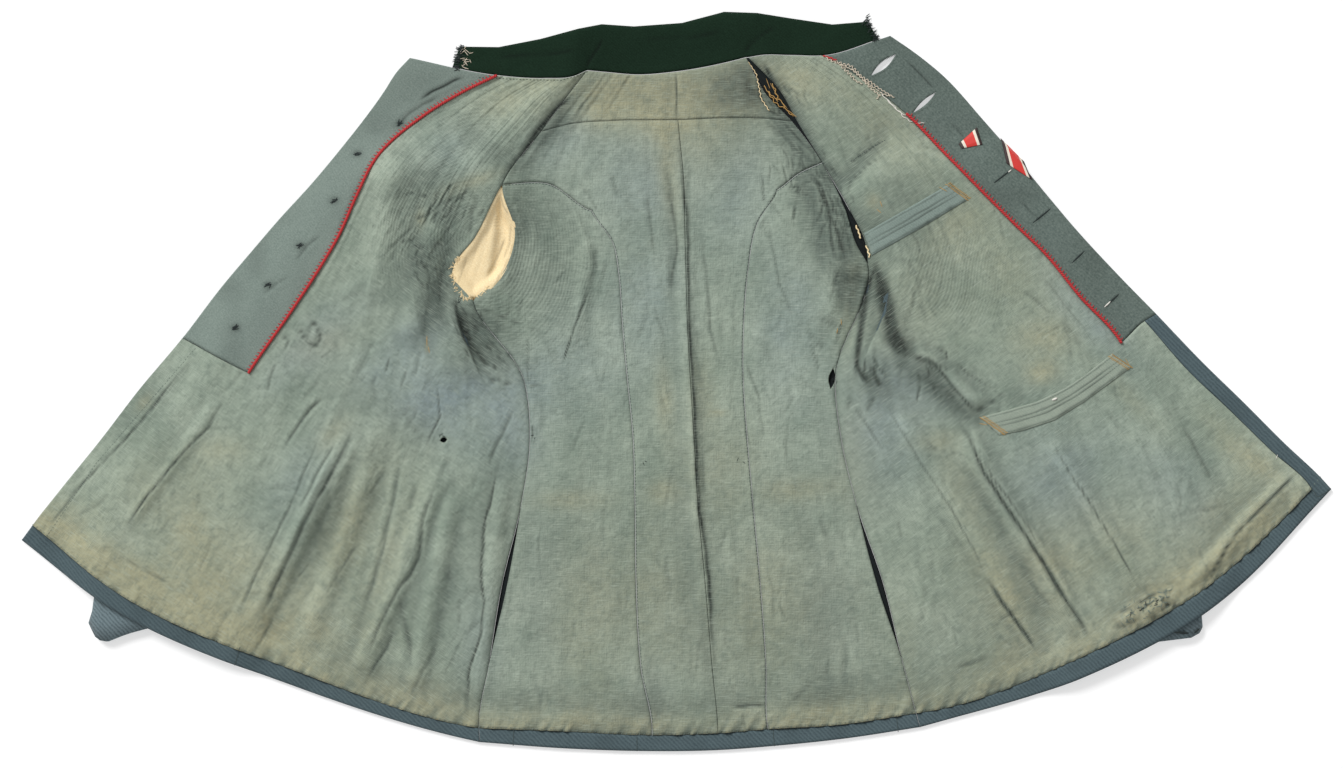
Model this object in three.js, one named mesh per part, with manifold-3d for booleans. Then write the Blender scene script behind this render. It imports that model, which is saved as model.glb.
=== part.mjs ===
// A cavalry tunic laid open on its back, seen from the lining side.
// Millimetres, +X towards the wearer's left front, +Y towards the collar, +Z up from the table.
// The whole cloth is one net of seam lines (columns) and sections (rows), and every panel is a set
// of its cells. What lies on a panel is made from the panel's own points, moved out.

import * as THREE from "three";
import { mergeVertices } from "three/addons/utils/BufferGeometryUtils.js";
import Module from "manifold-3d";

const wasm = await Module();
wasm.setup();

// Driving dimensions
const BACK_LENGTH = 700; // centre back, neck seam to hem edge
const SHELL = 2.2; // outer cloth, milled wool with its interlining
const TURNING = 2.0; // facings and hem turnings, the same wool
const LINING = 1.2; // cotton lining with its turned edges
const SLEEVE_WALL = 3.0; // wool and its lining together
const COLLAR = 3.2; // collar cloth on both faces of a stiff canvas
const LAYER_GAP = 0.3; // between cloth that lies on cloth
const SEAM_INSET = 0.25; // each panel stops this short of its seam line
const SHARPEST_MITRE = 0.4; // keeps the inset of a pointed corner short
const CORD_RADIUS = 1.6; // red edging cord
const CORD_SEAT = 2.5; // from the facing's upper face to the cord's middle
const CORD_SHORT = 0.1; // share of its last span by which the cord stops short of the neck
const WELT = 1.6; // inside pocket welts
const RIBBON = 0.9;

// Plan units: the laid-out tunic was measured on a drawing of 1343 by 768 units with y running down.
// The centre back is 679 units long there, which sets the scale.
const BACK_LENGTH_UNITS = 679;
const SHORTEST_SPAN = 1;
const UNIT = BACK_LENGTH / BACK_LENGTH_UNITS;
const PLAN_MIDDLE = { x: 676.5, y: 380.9 };
const at = (x, y) => [(x - PLAN_MIDDLE.x) * UNIT, (PLAN_MIDDLE.y - y) * UNIT];

// Cells between one seam line and the next, from the right front edge of the wearer round the back.
// "gap" cells lie between the front and the back panel: a slit in the lining or an armhole.
const SEAM_LINES = [
  { name: "leftEdge", cells: 4 },
  { name: "leftFacing", cells: 9 },
  { name: "leftMid", cells: 8 },
  { name: "leftRoll", cells: 2 },
  { name: "leftSide", cells: 1, gap: true },
  { name: "leftBack", cells: 3 },
  { name: "leftPanel", cells: 3 },
  { name: "leftPrincess", cells: 4 },
  { name: "centre", cells: 3 },
  { name: "rightPrincess", cells: 3 },
  { name: "rightPanel", cells: 3 },
  { name: "rightBack", cells: 1, gap: true },
  { name: "rightSide", cells: 2 },
  { name: "rightRoll", cells: 8 },
  { name: "rightMid", cells: 9 },
  { name: "rightFacing", cells: 3 },
  { name: "rightStrip", cells: 1 },
  { name: "rightEdge", cells: 0 },
];

// One row for each section across the opened tunic, from the hem to the neck seam. Each seam line
// has its plan x, its plan y and the height of the outer cloth above the table, in millimetres.
const SECTIONS = [
  {
    name: "hem", cells: 1,
    leftEdge: [22, 540, 0], leftFacing: [100, 600, 0], leftMid: [300, 688, 0],
    leftRoll: [462, 738, 0], leftSide: [480, 742, 0], leftBack: [480, 742, 0],
    leftPanel: [560, 748, 0], leftPrincess: [650, 751, 0], centre: [718, 750, 0],
    rightPrincess: [772, 746, 0], rightPanel: [848, 738, 0], rightBack: [920, 727, 0],
    rightSide: [920, 727, 0], rightRoll: [938, 722, 0], rightMid: [1080, 678, 0],
    rightFacing: [1232, 592, 0], rightStrip: [1318, 503, 0], rightEdge: [1331, 489, 0],
  },
  {
    name: "hemTurning", cells: 1,
    leftEdge: [33, 525, 0], leftFacing: [112, 588, 0], leftMid: [302, 673, 0],
    leftRoll: [462, 725, 0], leftSide: [479, 728, 0], leftBack: [479, 728, 0],
    leftPanel: [560, 731, 0], leftPrincess: [652, 735, 0], centre: [718, 733, 0],
    rightPrincess: [768, 729, 0], rightPanel: [845, 724, 0], rightBack: [916, 713, 0],
    rightSide: [916, 713, 0], rightRoll: [935, 710, 0], rightMid: [1075, 659, 0],
    rightFacing: [1220, 576, 0], rightStrip: [1311, 489, 0], rightEdge: [1321, 478, 0],
  },
  {
    name: "lowSkirt", cells: 2,
    leftEdge: [62, 488, 0], leftFacing: [146, 545, 1], leftMid: [316, 615, 2],
    leftRoll: [472, 668, 1], leftSide: [489, 665, 0], leftBack: [489, 665, 0],
    leftPanel: [562, 668, 0], leftPrincess: [641, 668, 0], centre: [712, 665, 0],
    rightPrincess: [766, 665, 0], rightPanel: [835, 664, 0], rightBack: [902, 660, 0],
    rightSide: [902, 660, 0], rightRoll: [920, 655, 1], rightMid: [1042, 606, 3],
    rightFacing: [1185, 530, 1], rightStrip: [1270, 450, 0], rightEdge: [1284, 443, 0],
  },
  {
    name: "midSkirt", cells: 2,
    leftEdge: [100, 441, 0], leftFacing: [183, 487, 2], leftMid: [335, 545, 3],
    leftRoll: [484, 585, 2], leftSide: [502, 585, 0], leftBack: [507, 585, 0],
    leftPanel: [568, 582, 0], leftPrincess: [636, 580, 0], centre: [705, 580, 0],
    rightPrincess: [760, 580, 0], rightPanel: [820, 582, 0], rightBack: [877, 584, 0],
    rightSide: [883, 583, 0], rightRoll: [898, 578, 2], rightMid: [1012, 547, 4],
    rightFacing: [1155, 468, 2], rightStrip: [1229, 410, 0], rightEdge: [1243, 402, 0],
  },
  {
    name: "highSkirt", cells: 2,
    leftEdge: [140, 389, 0], leftFacing: [217, 430, 2], leftMid: [352, 478, 4],
    leftRoll: [505, 507, 3], leftSide: [521, 506, 0], leftBack: [521, 506, 0],
    leftPanel: [578, 504, 0], leftPrincess: [635, 503, 0], centre: [698, 503, 0],
    rightPrincess: [753, 503, 0], rightPanel: [805, 503, 0], rightBack: [856, 503, 0],
    rightSide: [856, 503, 0], rightRoll: [873, 498, 3], rightMid: [980, 478, 5],
    rightFacing: [1136, 405, 2], rightStrip: [1187, 370, 0], rightEdge: [1200, 360, 0],
  },
  {
    name: "waist", cells: 1,
    leftEdge: [183, 338, 0], leftFacing: [250, 373, 2], leftMid: [372, 415, 5],
    leftRoll: [512, 442, 4], leftSide: [530, 440, 0], leftBack: [530, 440, 0],
    leftPanel: [582, 438, 0], leftPrincess: [633, 437, 0], centre: [694, 435, 0],
    rightPrincess: [747, 435, 0], rightPanel: [794, 436, 0], rightBack: [841, 438, 0],
    rightSide: [841, 438, 0], rightRoll: [860, 430, 5], rightMid: [960, 402, 7],
    rightFacing: [1120, 343, 2], rightStrip: [1144, 321, 0], rightEdge: [1156, 314, 0],
  },
  {
    name: "lowChest", cells: 2,
    leftEdge: [222, 287, 0], leftFacing: [293, 311, 2], leftMid: [390, 352, 6],
    leftRoll: [505, 384, 5], leftSide: [524, 380, 1], leftBack: [524, 380, 1],
    leftPanel: [576, 377, 0], leftPrincess: [627, 375, 0], centre: [690, 372, 0],
    rightPrincess: [743, 372, 0], rightPanel: [789, 375, 0], rightBack: [835, 378, 1],
    rightSide: [835, 378, 1], rightRoll: [855, 366, 8], rightMid: [945, 335, 8],
    rightFacing: [1078, 296, 2], rightStrip: [1104, 281, 0], rightEdge: [1115, 272, 0],
  },
  {
    name: "armholeFoot", cells: 1,
    leftEdge: [255, 248, 0], leftFacing: [325, 262, 2], leftMid: [395, 290, 6],
    leftRoll: [455, 303, 4], leftSide: [474, 301, 1], leftBack: [474, 301, 1],
    leftPanel: [548, 315, 0], leftPrincess: [622, 318, 0], centre: [687, 310, 0],
    rightPrincess: [744, 318, 0], rightPanel: [806, 300, 1], rightBack: [867, 264, 3],
    rightSide: [867, 264, 3], rightRoll: [884, 262, 9], rightMid: [950, 262, 6],
    rightFacing: [1042, 252, 2], rightStrip: [1063, 238, 0], rightEdge: [1075, 229, 0],
  },
  {
    name: "armholeLow", cells: 1,
    leftEdge: [280, 219, 0], leftFacing: [340, 236, 2], leftMid: [398, 258, 5],
    leftRoll: [438, 270, 3], leftSide: [454, 272, 1], leftBack: [501, 276, 0],
    leftPanel: [560, 276, 0], leftPrincess: [619, 275, 0], centre: [686, 268, 0],
    rightPrincess: [748, 270, 0], rightPanel: [803, 262, 1], rightBack: [857, 247, 3],
    rightSide: [865, 246, 3], rightRoll: [881, 242, 8], rightMid: [940, 232, 5],
    rightFacing: [1015, 226, 2], rightStrip: [1036, 206, 0], rightEdge: [1048, 197, 0],
  },
  {
    name: "armholeHigh", cells: 2,
    leftEdge: [312, 184, 0], leftFacing: [357, 198, 2], leftMid: [420, 218, 5],
    leftRoll: [462, 230, 3], leftSide: [477, 236, 2], leftBack: [515, 236, 0],
    leftPanel: [564, 238, 0], leftPrincess: [613, 243, 0], centre: [685, 232, 0],
    rightPrincess: [757, 224, 0], rightPanel: [802, 216, 2], rightBack: [844, 208, 4],
    rightSide: [847, 207, 4], rightRoll: [864, 203, 10], rightMid: [920, 195, 5],
    rightFacing: [985, 196, 2], rightStrip: [1008, 172, 0], rightEdge: [1020, 163, 0],
  },
  {
    name: "armholeHead", cells: 1,
    leftEdge: [345, 144, 0], leftFacing: [378, 157, 2], leftMid: [445, 172, 6],
    leftRoll: [486, 175, 9], leftSide: [503, 185, 3], leftBack: [503, 185, 3],
    leftPanel: [548, 184, 0], leftPrincess: [592, 211, 0], centre: [684, 185, 0],
    rightPrincess: [777, 190, 0], rightPanel: [800, 173, 2], rightBack: [822, 163, 4],
    rightSide: [822, 163, 4], rightRoll: [838, 155, 12], rightMid: [892, 150, 5],
    rightFacing: [948, 158, 2], rightStrip: [971, 130, 0], rightEdge: [983, 120, 0],
  },
  {
    name: "shoulder", cells: 1,
    leftEdge: [384, 92, 0], leftFacing: [424, 116, 2], leftMid: [487, 122, 6],
    leftRoll: [526, 126, 11], leftSide: [541, 132, 3], leftBack: [541, 132, 3],
    leftPanel: [572, 124, 1], leftPrincess: [610, 121, 0], centre: [678, 120, 0],
    rightPrincess: [740, 118, 0], rightPanel: [768, 119, 1], rightBack: [792, 122, 3],
    rightSide: [797, 122, 4], rightRoll: [812, 120, 12], rightMid: [855, 112, 5],
    rightFacing: [906, 114, 2], rightStrip: [932, 84, 0], rightEdge: [942, 75, 0],
  },
  {
    name: "yoke", cells: 1,
    leftEdge: [397, 72, 0], leftFacing: [462, 93, 3], leftMid: [515, 97, 6],
    leftRoll: [550, 98, 10], leftSide: [564, 101, 3], leftBack: [564, 101, 3],
    leftPanel: [592, 98, 1], leftPrincess: [622, 97, 0], centre: [676, 96, 0],
    rightPrincess: [724, 93, 0], rightPanel: [746, 92, 1], rightBack: [764, 92, 3],
    rightSide: [780, 92, 4], rightRoll: [795, 90, 11], rightMid: [830, 85, 5],
    rightFacing: [868, 84, 3], rightStrip: [902, 58, 0], rightEdge: [912, 51, 0],
  },
  {
    name: "neck", cells: 0,
    leftEdge: [410, 58, 0], leftFacing: [497, 76, 4], leftMid: [545, 79, 5],
    leftRoll: [574, 77, 7], leftSide: [587, 71, 3], leftBack: [587, 71, 3],
    leftPanel: [610, 73, 1], leftPrincess: [635, 75, 0], centre: [676, 72, 0],
    rightPrincess: [712, 66, 0], rightPanel: [730, 62, 1], rightBack: [746, 58, 3],
    rightSide: [748, 58, 3], rightRoll: [762, 56, 7], rightMid: [790, 56, 5],
    rightFacing: [825, 56, 4], rightStrip: [878, 40, 0], rightEdge: [890, 36, 0],
  },
];

// Sleeves lie flat under the fronts. Plan x and y of the middle, half the flat width in plan
// units, and the height of the flattened sleeve in millimetres, from the armhole to the cuff.
const LEFT_SLEEVE = [
  { x: 488.5, y: 243.5, half: 57, high: 9.8 },
  { x: 446, y: 238, half: 76, high: 9.8 },
  { x: 404, y: 258, half: 88, high: 9.8 },
  { x: 366, y: 308, half: 90, high: 9.8 },
  { x: 324, y: 362, half: 88, high: 9.5 },
  { x: 280, y: 414, half: 84, high: 9.5 },
  { x: 236, y: 466, half: 80, high: 9.5 },
  { x: 196, y: 516, half: 77, high: 9.5 },
  { x: 170, y: 570, half: 73, high: 9.5 },
  { x: 169, y: 624, half: 69, high: 9.5 },
];
const RIGHT_SLEEVE = [
  { x: 855, y: 231, half: 34, high: 9.8 },
  { x: 900, y: 226, half: 66, high: 9.8 },
  { x: 942, y: 247, half: 84, high: 9.8 },
  { x: 976, y: 297, half: 90, high: 9.8 },
  { x: 1008, y: 352, half: 88, high: 9.5 },
  { x: 1040, y: 408, half: 85, high: 9.5 },
  { x: 1072, y: 465, half: 81, high: 9.5 },
  { x: 1101, y: 523, half: 78, high: 9.5 },
  { x: 1124, y: 580, half: 74, high: 9.5 },
  { x: 1131, y: 638, half: 70, high: 9.5 },
];
const SLEEVE_SIDES = 20;
const SLEEVE_CLEARANCE = 0.4; // between a sleeve and the front that lies on it
const RAMP = { full: 0.92, foot: 1.62 }; // where the front starts to fall off a sleeve, and where it is down
const MOUTH_RAMP = 42; // plan units over which the cloth falls behind the armhole
const MOUTH_BULGE = { left: 21, right: 3 }; // how far the sleeve's lower edge follows the back armhole

// The largest folds of the lining: from one plan point to the other, how high each stands off the
// outer cloth and half its width, in millimetres.
const FOLDS = [
  { name: "right skirt fold outer", x0: 222, y0: 398, x1: 122, y1: 532, rise: 3, half: 13 },
  { name: "right skirt fold", x0: 352, y0: 430, x1: 246, y1: 640, rise: 6, half: 20 },
  { name: "right skirt fold inner", x0: 378, y0: 452, x1: 300, y1: 655, rise: 5, half: 18 },
  { name: "right flank fold", x0: 446, y0: 458, x1: 352, y1: 690, rise: 6, half: 20 },
  { name: "right side fold", x0: 455, y0: 480, x1: 412, y1: 700, rise: 5, half: 16 },
  { name: "right pleat edge", x0: 506, y0: 470, x1: 476, y1: 712, rise: 4, half: 13 },
  { name: "right chest roll", x0: 395, y0: 150, x1: 372, y1: 305, rise: 5, half: 24 },
  { name: "right underarm roll", x0: 440, y0: 215, x1: 408, y1: 345, rise: 6, half: 20 },
  { name: "right shield roll", x0: 588, y0: 228, x1: 575, y1: 350, rise: 3, half: 14 },
  { name: "centre pleat", x0: 676, y0: 150, x1: 705, y1: 700, rise: 2.5, half: 13 },
  { name: "left shield roll", x0: 835, y0: 205, x1: 828, y1: 330, rise: 3, half: 16 },
  { name: "left chest fold", x0: 908, y0: 352, x1: 984, y1: 412, rise: 7, half: 17 },
  { name: "left side fold", x0: 885, y0: 400, x1: 1044, y1: 655, rise: 4, half: 18 },
  { name: "left skirt fold", x0: 958, y0: 428, x1: 1078, y1: 640, rise: 7, half: 19 },
  { name: "left flank fold", x0: 1040, y0: 430, x1: 1142, y1: 592, rise: 3, half: 15 },
  { name: "left front fold", x0: 1150, y0: 390, x1: 1225, y1: 520, rise: 3, half: 16 },
  { name: "left hem roll", x0: 1296, y0: 474, x1: 1180, y1: 590, rise: 5, half: 14 },
];
const FOLD_TAPER = 0.18; // share of a fold's length over which each end dies away

// Collar: its free edge in plan units and millimetres of height, by place along the neck edge.
const COLLAR_EDGE = [
  { neckX: 454, x: 460, y: 47, z: 3 },
  { neckX: 498, x: 499, y: 47, z: 4 },
  { neckX: 540, x: 541, y: 38, z: 7 },
  { neckX: 574, x: 579, y: 28, z: 11 },
  { neckX: 590, x: 602, y: 24, z: 9 },
  { neckX: 630, x: 634, y: 26, z: 6 },
  { neckX: 676, x: 682, y: 19, z: 5 },
  { neckX: 718, x: 724, y: 12, z: 7 },
  { neckX: 748, x: 757, y: 11, z: 12 },
  { neckX: 786, x: 790, y: 16, z: 8 },
  { neckX: 826, x: 832, y: 22, z: 5 },
  { neckX: 878, x: 868, y: 22, z: 3 },
];
const COLLAR_CELLS = 3; // from the neck edge to the free edge
const COLLAR_START_COLUMN = 2; // the collar begins this many cells in from the right front edge
const COLLAR_SEAM = 0.6; // millimetres between the neck edge and the collar
const COLLAR_SEAT = 1.2; // how high its neck edge stands over the outer cloth's lower face

// Inside pockets on the wearer's left front: the middle of each welt in plan units, and its width.
const WELTS = [
  { name: "pocket_welt_breast", points: [[867, 246], [914, 219], [957, 194]], width: 19 },
  { name: "pocket_welt_waist", points: [[988, 426], [1061, 405], [1120, 361]], width: 19 },
];
const STRIP_SIDES = 6;

// Gaps over 4 mm wide: plan ends and widest part in millimetres. Two buttonholes of the wearer's left
// front stand open, the right front lining has a hole and the left side seam of the lining has parted.
const BUTTONHOLES = [
  { x0: 871, y0: 76, x1: 896, y1: 54, gap: 7.4 },
  { x0: 913, y0: 113, x1: 936, y1: 92, gap: 4.6 },
];
const LINING_HOLE = { x0: 440.5, y0: 440.5, x1: 448, y1: 439, gap: 5.4 };
const SEAM_TEAR = { x0: 833, y0: 368, x1: 830.5, y1: 389, gap: 7 };
const LEAF_SIDES = 6;
const BLADE_HALF = 60;

// Ends of the striped ribbon that show, one at a buttonhole and one at the front edge: plan corners.
const RIBBONS = [
  { name: "ribbon_buttonhole_end", corners: [[961, 149], [977, 145], [975, 129], [958, 144]] },
  { name: "ribbon_edge_end", corners: [[1007, 166], [1027, 181], [1023, 161], [1003, 144]] },
];

// Colours: field-grey wool, faded lining, bottle green, cream and red.
const CLOTH = {
  wool: new THREE.MeshStandardMaterial({ color: 0x5b6a6c, roughness: 0.95, metalness: 0 }),
  facing: new THREE.MeshStandardMaterial({ color: 0x68777a, roughness: 0.95, metalness: 0 }),
  lining: new THREE.MeshStandardMaterial({ color: 0x8a9689, roughness: 0.85, metalness: 0 }),
  collar: new THREE.MeshStandardMaterial({ color: 0x1b3324, roughness: 0.95, metalness: 0 }),
  cream: new THREE.MeshStandardMaterial({ color: 0xd8c39b, roughness: 0.85, metalness: 0 }),
  red: new THREE.MeshStandardMaterial({ color: 0xb5352c, roughness: 0.8, metalness: 0 }),
};

// Place on the smooth curve through a line of [x, y, ...] points, at share t of one span. The tangent at
// each point leans towards the shorter of its two spans, so a short span never swings past its end.
function alongCurve(points, index, t) {
  const last = points.length - 1;
  const here = points[index];
  const next = points[Math.min(last, index + 1)];
  const span = (a, b) => Math.max(SHORTEST_SPAN, Math.hypot(b[0] - a[0], b[1] - a[1]));
  const length = span(here, next);
  const slope = (k, axis) => {
    const at0 = points[Math.min(last, Math.max(0, k))];
    const before = points[Math.max(0, k - 1)];
    const after = points[Math.min(last, k + 1)];
    const [l0, l1] = [span(before, at0), span(at0, after)];
    if (k <= 0) return (after[axis] - at0[axis]) / l1;
    if (k >= last) return (at0[axis] - before[axis]) / l0;
    return (((at0[axis] - before[axis]) / l0) * l1 + ((after[axis] - at0[axis]) / l1) * l0) / (l0 + l1);
  };
  const t2 = t * t;
  const t3 = t2 * t;
  return here.map(
    (value, axis) =>
      value * (2 * t3 - 3 * t2 + 1) +
      next[axis] * (3 * t2 - 2 * t3) +
      length * (slope(index, axis) * (t3 - 2 * t2 + t) + slope(index + 1, axis) * (t3 - t2)),
  );
}

const smooth = (t) => {
  const s = Math.min(1, Math.max(0, t));
  return s * s * (3 - 2 * s);
};

// Two seam lines that meet at this section and at the next one run together between them.
function closeSeam(row, first, second, index) {
  const pair = [SECTIONS[index], SECTIONS[Math.min(index + 1, SECTIONS.length - 1)]];
  if (!pair.every((section) => section[first].every((value, axis) => value === section[second][axis]))) return;
  const middle = row[first].map((value, axis) => (value + row[second][axis]) / 2);
  row[first] = middle;
  row[second] = middle;
}

// Rows of the net: each seam line is a smooth curve from section to section.
function finerSections() {
  const rows = [];
  SECTIONS.forEach((section, index) => {
    const cells = Math.max(1, section.cells);
    for (let k = 0; k < cells; k += 1) {
      const row = {};
      for (const line of SEAM_LINES) {
        const points = SECTIONS.map((s) => s[line.name]);
        row[line.name] = alongCurve(points, index, k / cells);
      }
      SEAM_LINES.forEach((line, column) => {
        if (line.gap) closeSeam(row, line.name, SEAM_LINES[column + 1].name, index);
      });
      rows.push(row);
    }
  });
  return rows;
}

// Columns of one row. The two edges of a gap are corners, so each run between gaps is its own curve.
function finerRow(row) {
  const runs = [[]];
  for (const line of SEAM_LINES) {
    runs[runs.length - 1].push(line);
    if (line.gap) runs.push([]);
  }
  const out = [];
  for (const run of runs) {
    const points = run.map((line) => row[line.name]);
    run.forEach((line, index) => {
      const last = index === run.length - 1;
      const cells = last ? 1 : line.cells;
      for (let k = 0; k < cells; k += 1) out.push(alongCurve(points, index, k / cells));
    });
  }
  return out;
}

const columnOf = {};
let columns = 0;
for (const line of SEAM_LINES) {
  columnOf[line.name] = columns;
  columns += line.cells;
}
const rowOf = {};
let rows = 0;
for (const section of SECTIONS) {
  rowOf[section.name] = rows;
  rows += section.cells;
}

// Nearest place on a sleeve's middle line: how far off it is, how far past the armhole end, and
// the sleeve's half width and height there.
function nearSleeve(sleeve, x, y) {
  let best = null;
  for (let k = 0; k + 1 < sleeve.length; k += 1) {
    const a = sleeve[k];
    const b = sleeve[k + 1];
    const dx = b.x - a.x;
    const dy = b.y - a.y;
    const raw = ((x - a.x) * dx + (y - a.y) * dy) / (dx * dx + dy * dy);
    const t = Math.min(1, Math.max(0, raw));
    const off = Math.hypot(x - a.x - t * dx, y - a.y - t * dy);
    if (best && off >= best.off) continue;
    const past = k === 0 && raw < 0 ? -raw * Math.hypot(dx, dy) : 0;
    const side = past ? Math.sqrt(Math.max(0, off * off - past * past)) : off;
    best = { off, side, past, half: a.half + t * (b.half - a.half), high: a.high + t * (b.high - a.high) };
  }
  return best;
}

// Height that the sleeves give the cloth over them.
function sleeveLift(x, y) {
  let lift = 0;
  for (const sleeve of [LEFT_SLEEVE, RIGHT_SLEEVE]) {
    const near = nearSleeve(sleeve, x, y);
    const fall = smooth((near.side / near.half - RAMP.full) / (RAMP.foot - RAMP.full));
    const behind = smooth(near.past / MOUTH_RAMP);
    lift = Math.max(lift, (near.high + SLEEVE_CLEARANCE) * (1 - fall) * (1 - behind));
  }
  return lift;
}

// Height of the lining's folds above the cloth that it lies on, at a plan point.
function foldLift(x, y) {
  let lift = 0;
  for (const fold of FOLDS) {
    const dx = fold.x1 - fold.x0;
    const dy = fold.y1 - fold.y0;
    const along = ((x - fold.x0) * dx + (y - fold.y0) * dy) / (dx * dx + dy * dy);
    if (along < 0 || along > 1) continue;
    const off = Math.abs((x - fold.x0) * dy - (y - fold.y0) * dx) / Math.hypot(dx, dy) * UNIT;
    if (off > fold.half) continue;
    const end = smooth(Math.min(along, 1 - along) / FOLD_TAPER);
    lift = Math.max(lift, fold.rise * end * 0.5 * (1 + Math.cos(Math.PI * off / fold.half)));
  }
  return lift;
}

// The net: plan place, outer cloth's height and lining's own lift at each crossing.
const net = finerSections().map((row) =>
  finerRow(row).map(([x, y, z]) => {
    const [X, Y] = at(x, y);
    return { x: X, y: Y, z: Math.max(0, z) + sleeveLift(x, y), fold: foldLift(x, y) };
  }),
);

// A closed mesh from corner points and faces of three or four corners.
function solidMesh(name, cloth, points, faces) {
  const position = [];
  for (const face of faces) {
    for (let k = 1; k + 1 < face.length; k += 1) {
      for (const corner of [face[0], face[k], face[k + 1]]) position.push(...points[corner]);
    }
  }
  const geometry = new THREE.BufferGeometry();
  geometry.setAttribute("position", new THREE.Float32BufferAttribute(position, 3));
  geometry.computeVertexNormals();
  const mesh = new THREE.Mesh(geometry, cloth);
  mesh.name = name;
  return mesh;
}

// Where the rim of a picked area goes when it is drawn in by `inset`: a map from crossing to place.
function drawnIn(picked, inset) {
  const next = new Map();
  for (let j = 0; j < rows; j += 1) {
    for (let i = 0; i < columns; i += 1) {
      if (!picked(i, j)) continue;
      const ring = [[i, j], [i + 1, j], [i + 1, j + 1], [i, j + 1]];
      const beyond = [[i, j - 1], [i + 1, j], [i, j + 1], [i - 1, j]];
      beyond.forEach(([a, b], side) => {
        if (!picked(a, b)) next.set(ring[side].join(), ring[(side + 1) % 4]);
      });
    }
  }
  const moved = new Map();
  const left = new Set(next.keys());
  while (left.size) {
    const loop = [];
    let here = [...left][0].split(",").map(Number);
    while (left.delete(here.join())) {
      loop.push(here);
      here = next.get(here.join());
    }
    insetLoop(loop, inset, moved);
  }
  return moved;
}

// Each corner of a closed loop goes in along both of its sides' normals. Sides of no length are passed over.
function insetLoop(loop, inset, moved) {
  const place = ([i, j]) => net[j][i];
  const far = (a, b) => Math.hypot(place(a).x - place(b).x, place(a).y - place(b).y) > SEAM_INSET;
  const step = (index, by) => {
    let k = index + by;
    const around = (n) => loop[((n % loop.length) + loop.length) % loop.length];
    while (!far(around(k), loop[index])) k += by;
    return place(around(k));
  };
  loop.forEach((crossing, index) => {
    const here = place(crossing);
    const normals = [[step(index, -1), here], [here, step(index, 1)]].map(([a, b]) => {
      const length = Math.hypot(b.x - a.x, b.y - a.y);
      return [-(b.y - a.y) / length, (b.x - a.x) / length];
    });
    const dot = normals[0][0] * normals[1][0] + normals[0][1] * normals[1][1];
    const scale = inset / Math.max(SHARPEST_MITRE, 1 + dot);
    moved.set(crossing.join(), [
      here.x + (normals[0][0] + normals[1][0]) * scale,
      here.y + (normals[0][1] + normals[1][1]) * scale,
    ]);
  });
}

// A wall of cloth over the cells that `has` picks: `under` gives its lower face at a crossing.
function wallOfCells(name, cloth, has, under, thickness) {
  const picked = (i, j) => i >= 0 && j >= 0 && i < columns && j < rows && has(i, j);
  const rim = drawnIn(picked, SEAM_INSET);
  const points = [];
  const index = new Map();
  const corner = (i, j, top) => {
    const key = [i, j].join();
    if (!index.has(key)) {
      const node = net[j][i];
      const [x, y] = rim.get(key) ?? [node.x, node.y];
      const z = under(node);
      index.set(key, points.length);
      points.push([x, y, z], [x, y, z + thickness]);
    }
    return index.get(key) + (top ? 1 : 0);
  };
  const faces = [];
  for (let j = 0; j < rows; j += 1) {
    for (let i = 0; i < columns; i += 1) {
      if (!picked(i, j)) continue;
      const ring = [[i, j], [i + 1, j], [i + 1, j + 1], [i, j + 1]];
      const low = ring.map(([a, b]) => corner(a, b, false));
      const high = ring.map(([a, b]) => corner(a, b, true));
      faces.push(high, [low[0], low[3], low[2], low[1]]);
      const beyond = [[i, j - 1], [i + 1, j], [i, j + 1], [i - 1, j]];
      beyond.forEach(([a, b], side) => {
        if (picked(a, b)) return;
        const following = (side + 1) % 4;
        faces.push([low[side], low[following], high[following], high[side]]);
      });
    }
  }
  return solidMesh(name, cloth, points, faces);
}

// Cell pickers: between two seam lines, and between two sections.
const between = (first, last) => (i) => i >= columnOf[first] && i < columnOf[last];
const rising = (first, last) => (i, j) => j >= rowOf[first] && j < (last ? rowOf[last] : rows);
const both = (...tests) => (i, j) => tests.every((test) => test(i, j));
const either = (...tests) => (i, j) => tests.some((test) => test(i, j));

const shellUnder = (node) => node.z;
const turningUnder = (node) => node.z + SHELL + LAYER_GAP;
const liningUnder = (node) => node.z + SHELL + LAYER_GAP + node.fold;

// Outer cloth
const slitLeft = both(between("leftSide", "leftBack"), rising("lowSkirt", "highSkirt"));
const slitRight = both(between("rightBack", "rightSide"), rising("lowSkirt", "highSkirt"));
const openShoulder = both(between("rightBack", "rightSide"), rising("armholeHead", "neck"));
const shells = [
  ["shell_front_right", between("leftEdge", "leftSide")],
  ["shell_front_left", either(between("rightSide", "rightEdge"), openShoulder)],
  [
    "shell_side_right",
    either(both(between("leftBack", "leftPrincess"), rising("hem", "armholeHead")), slitLeft),
  ],
  [
    "shell_side_left",
    either(both(between("rightPrincess", "rightBack"), rising("hem", "armholeHead")), slitRight),
  ],
  [
    "shell_back",
    either(
      between("leftPrincess", "rightPrincess"),
      both(between("leftBack", "rightBack"), rising("armholeHead")),
    ),
  ],
].map(([name, has]) => wallOfCells(name, CLOTH.wool, has, shellUnder, SHELL));

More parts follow.
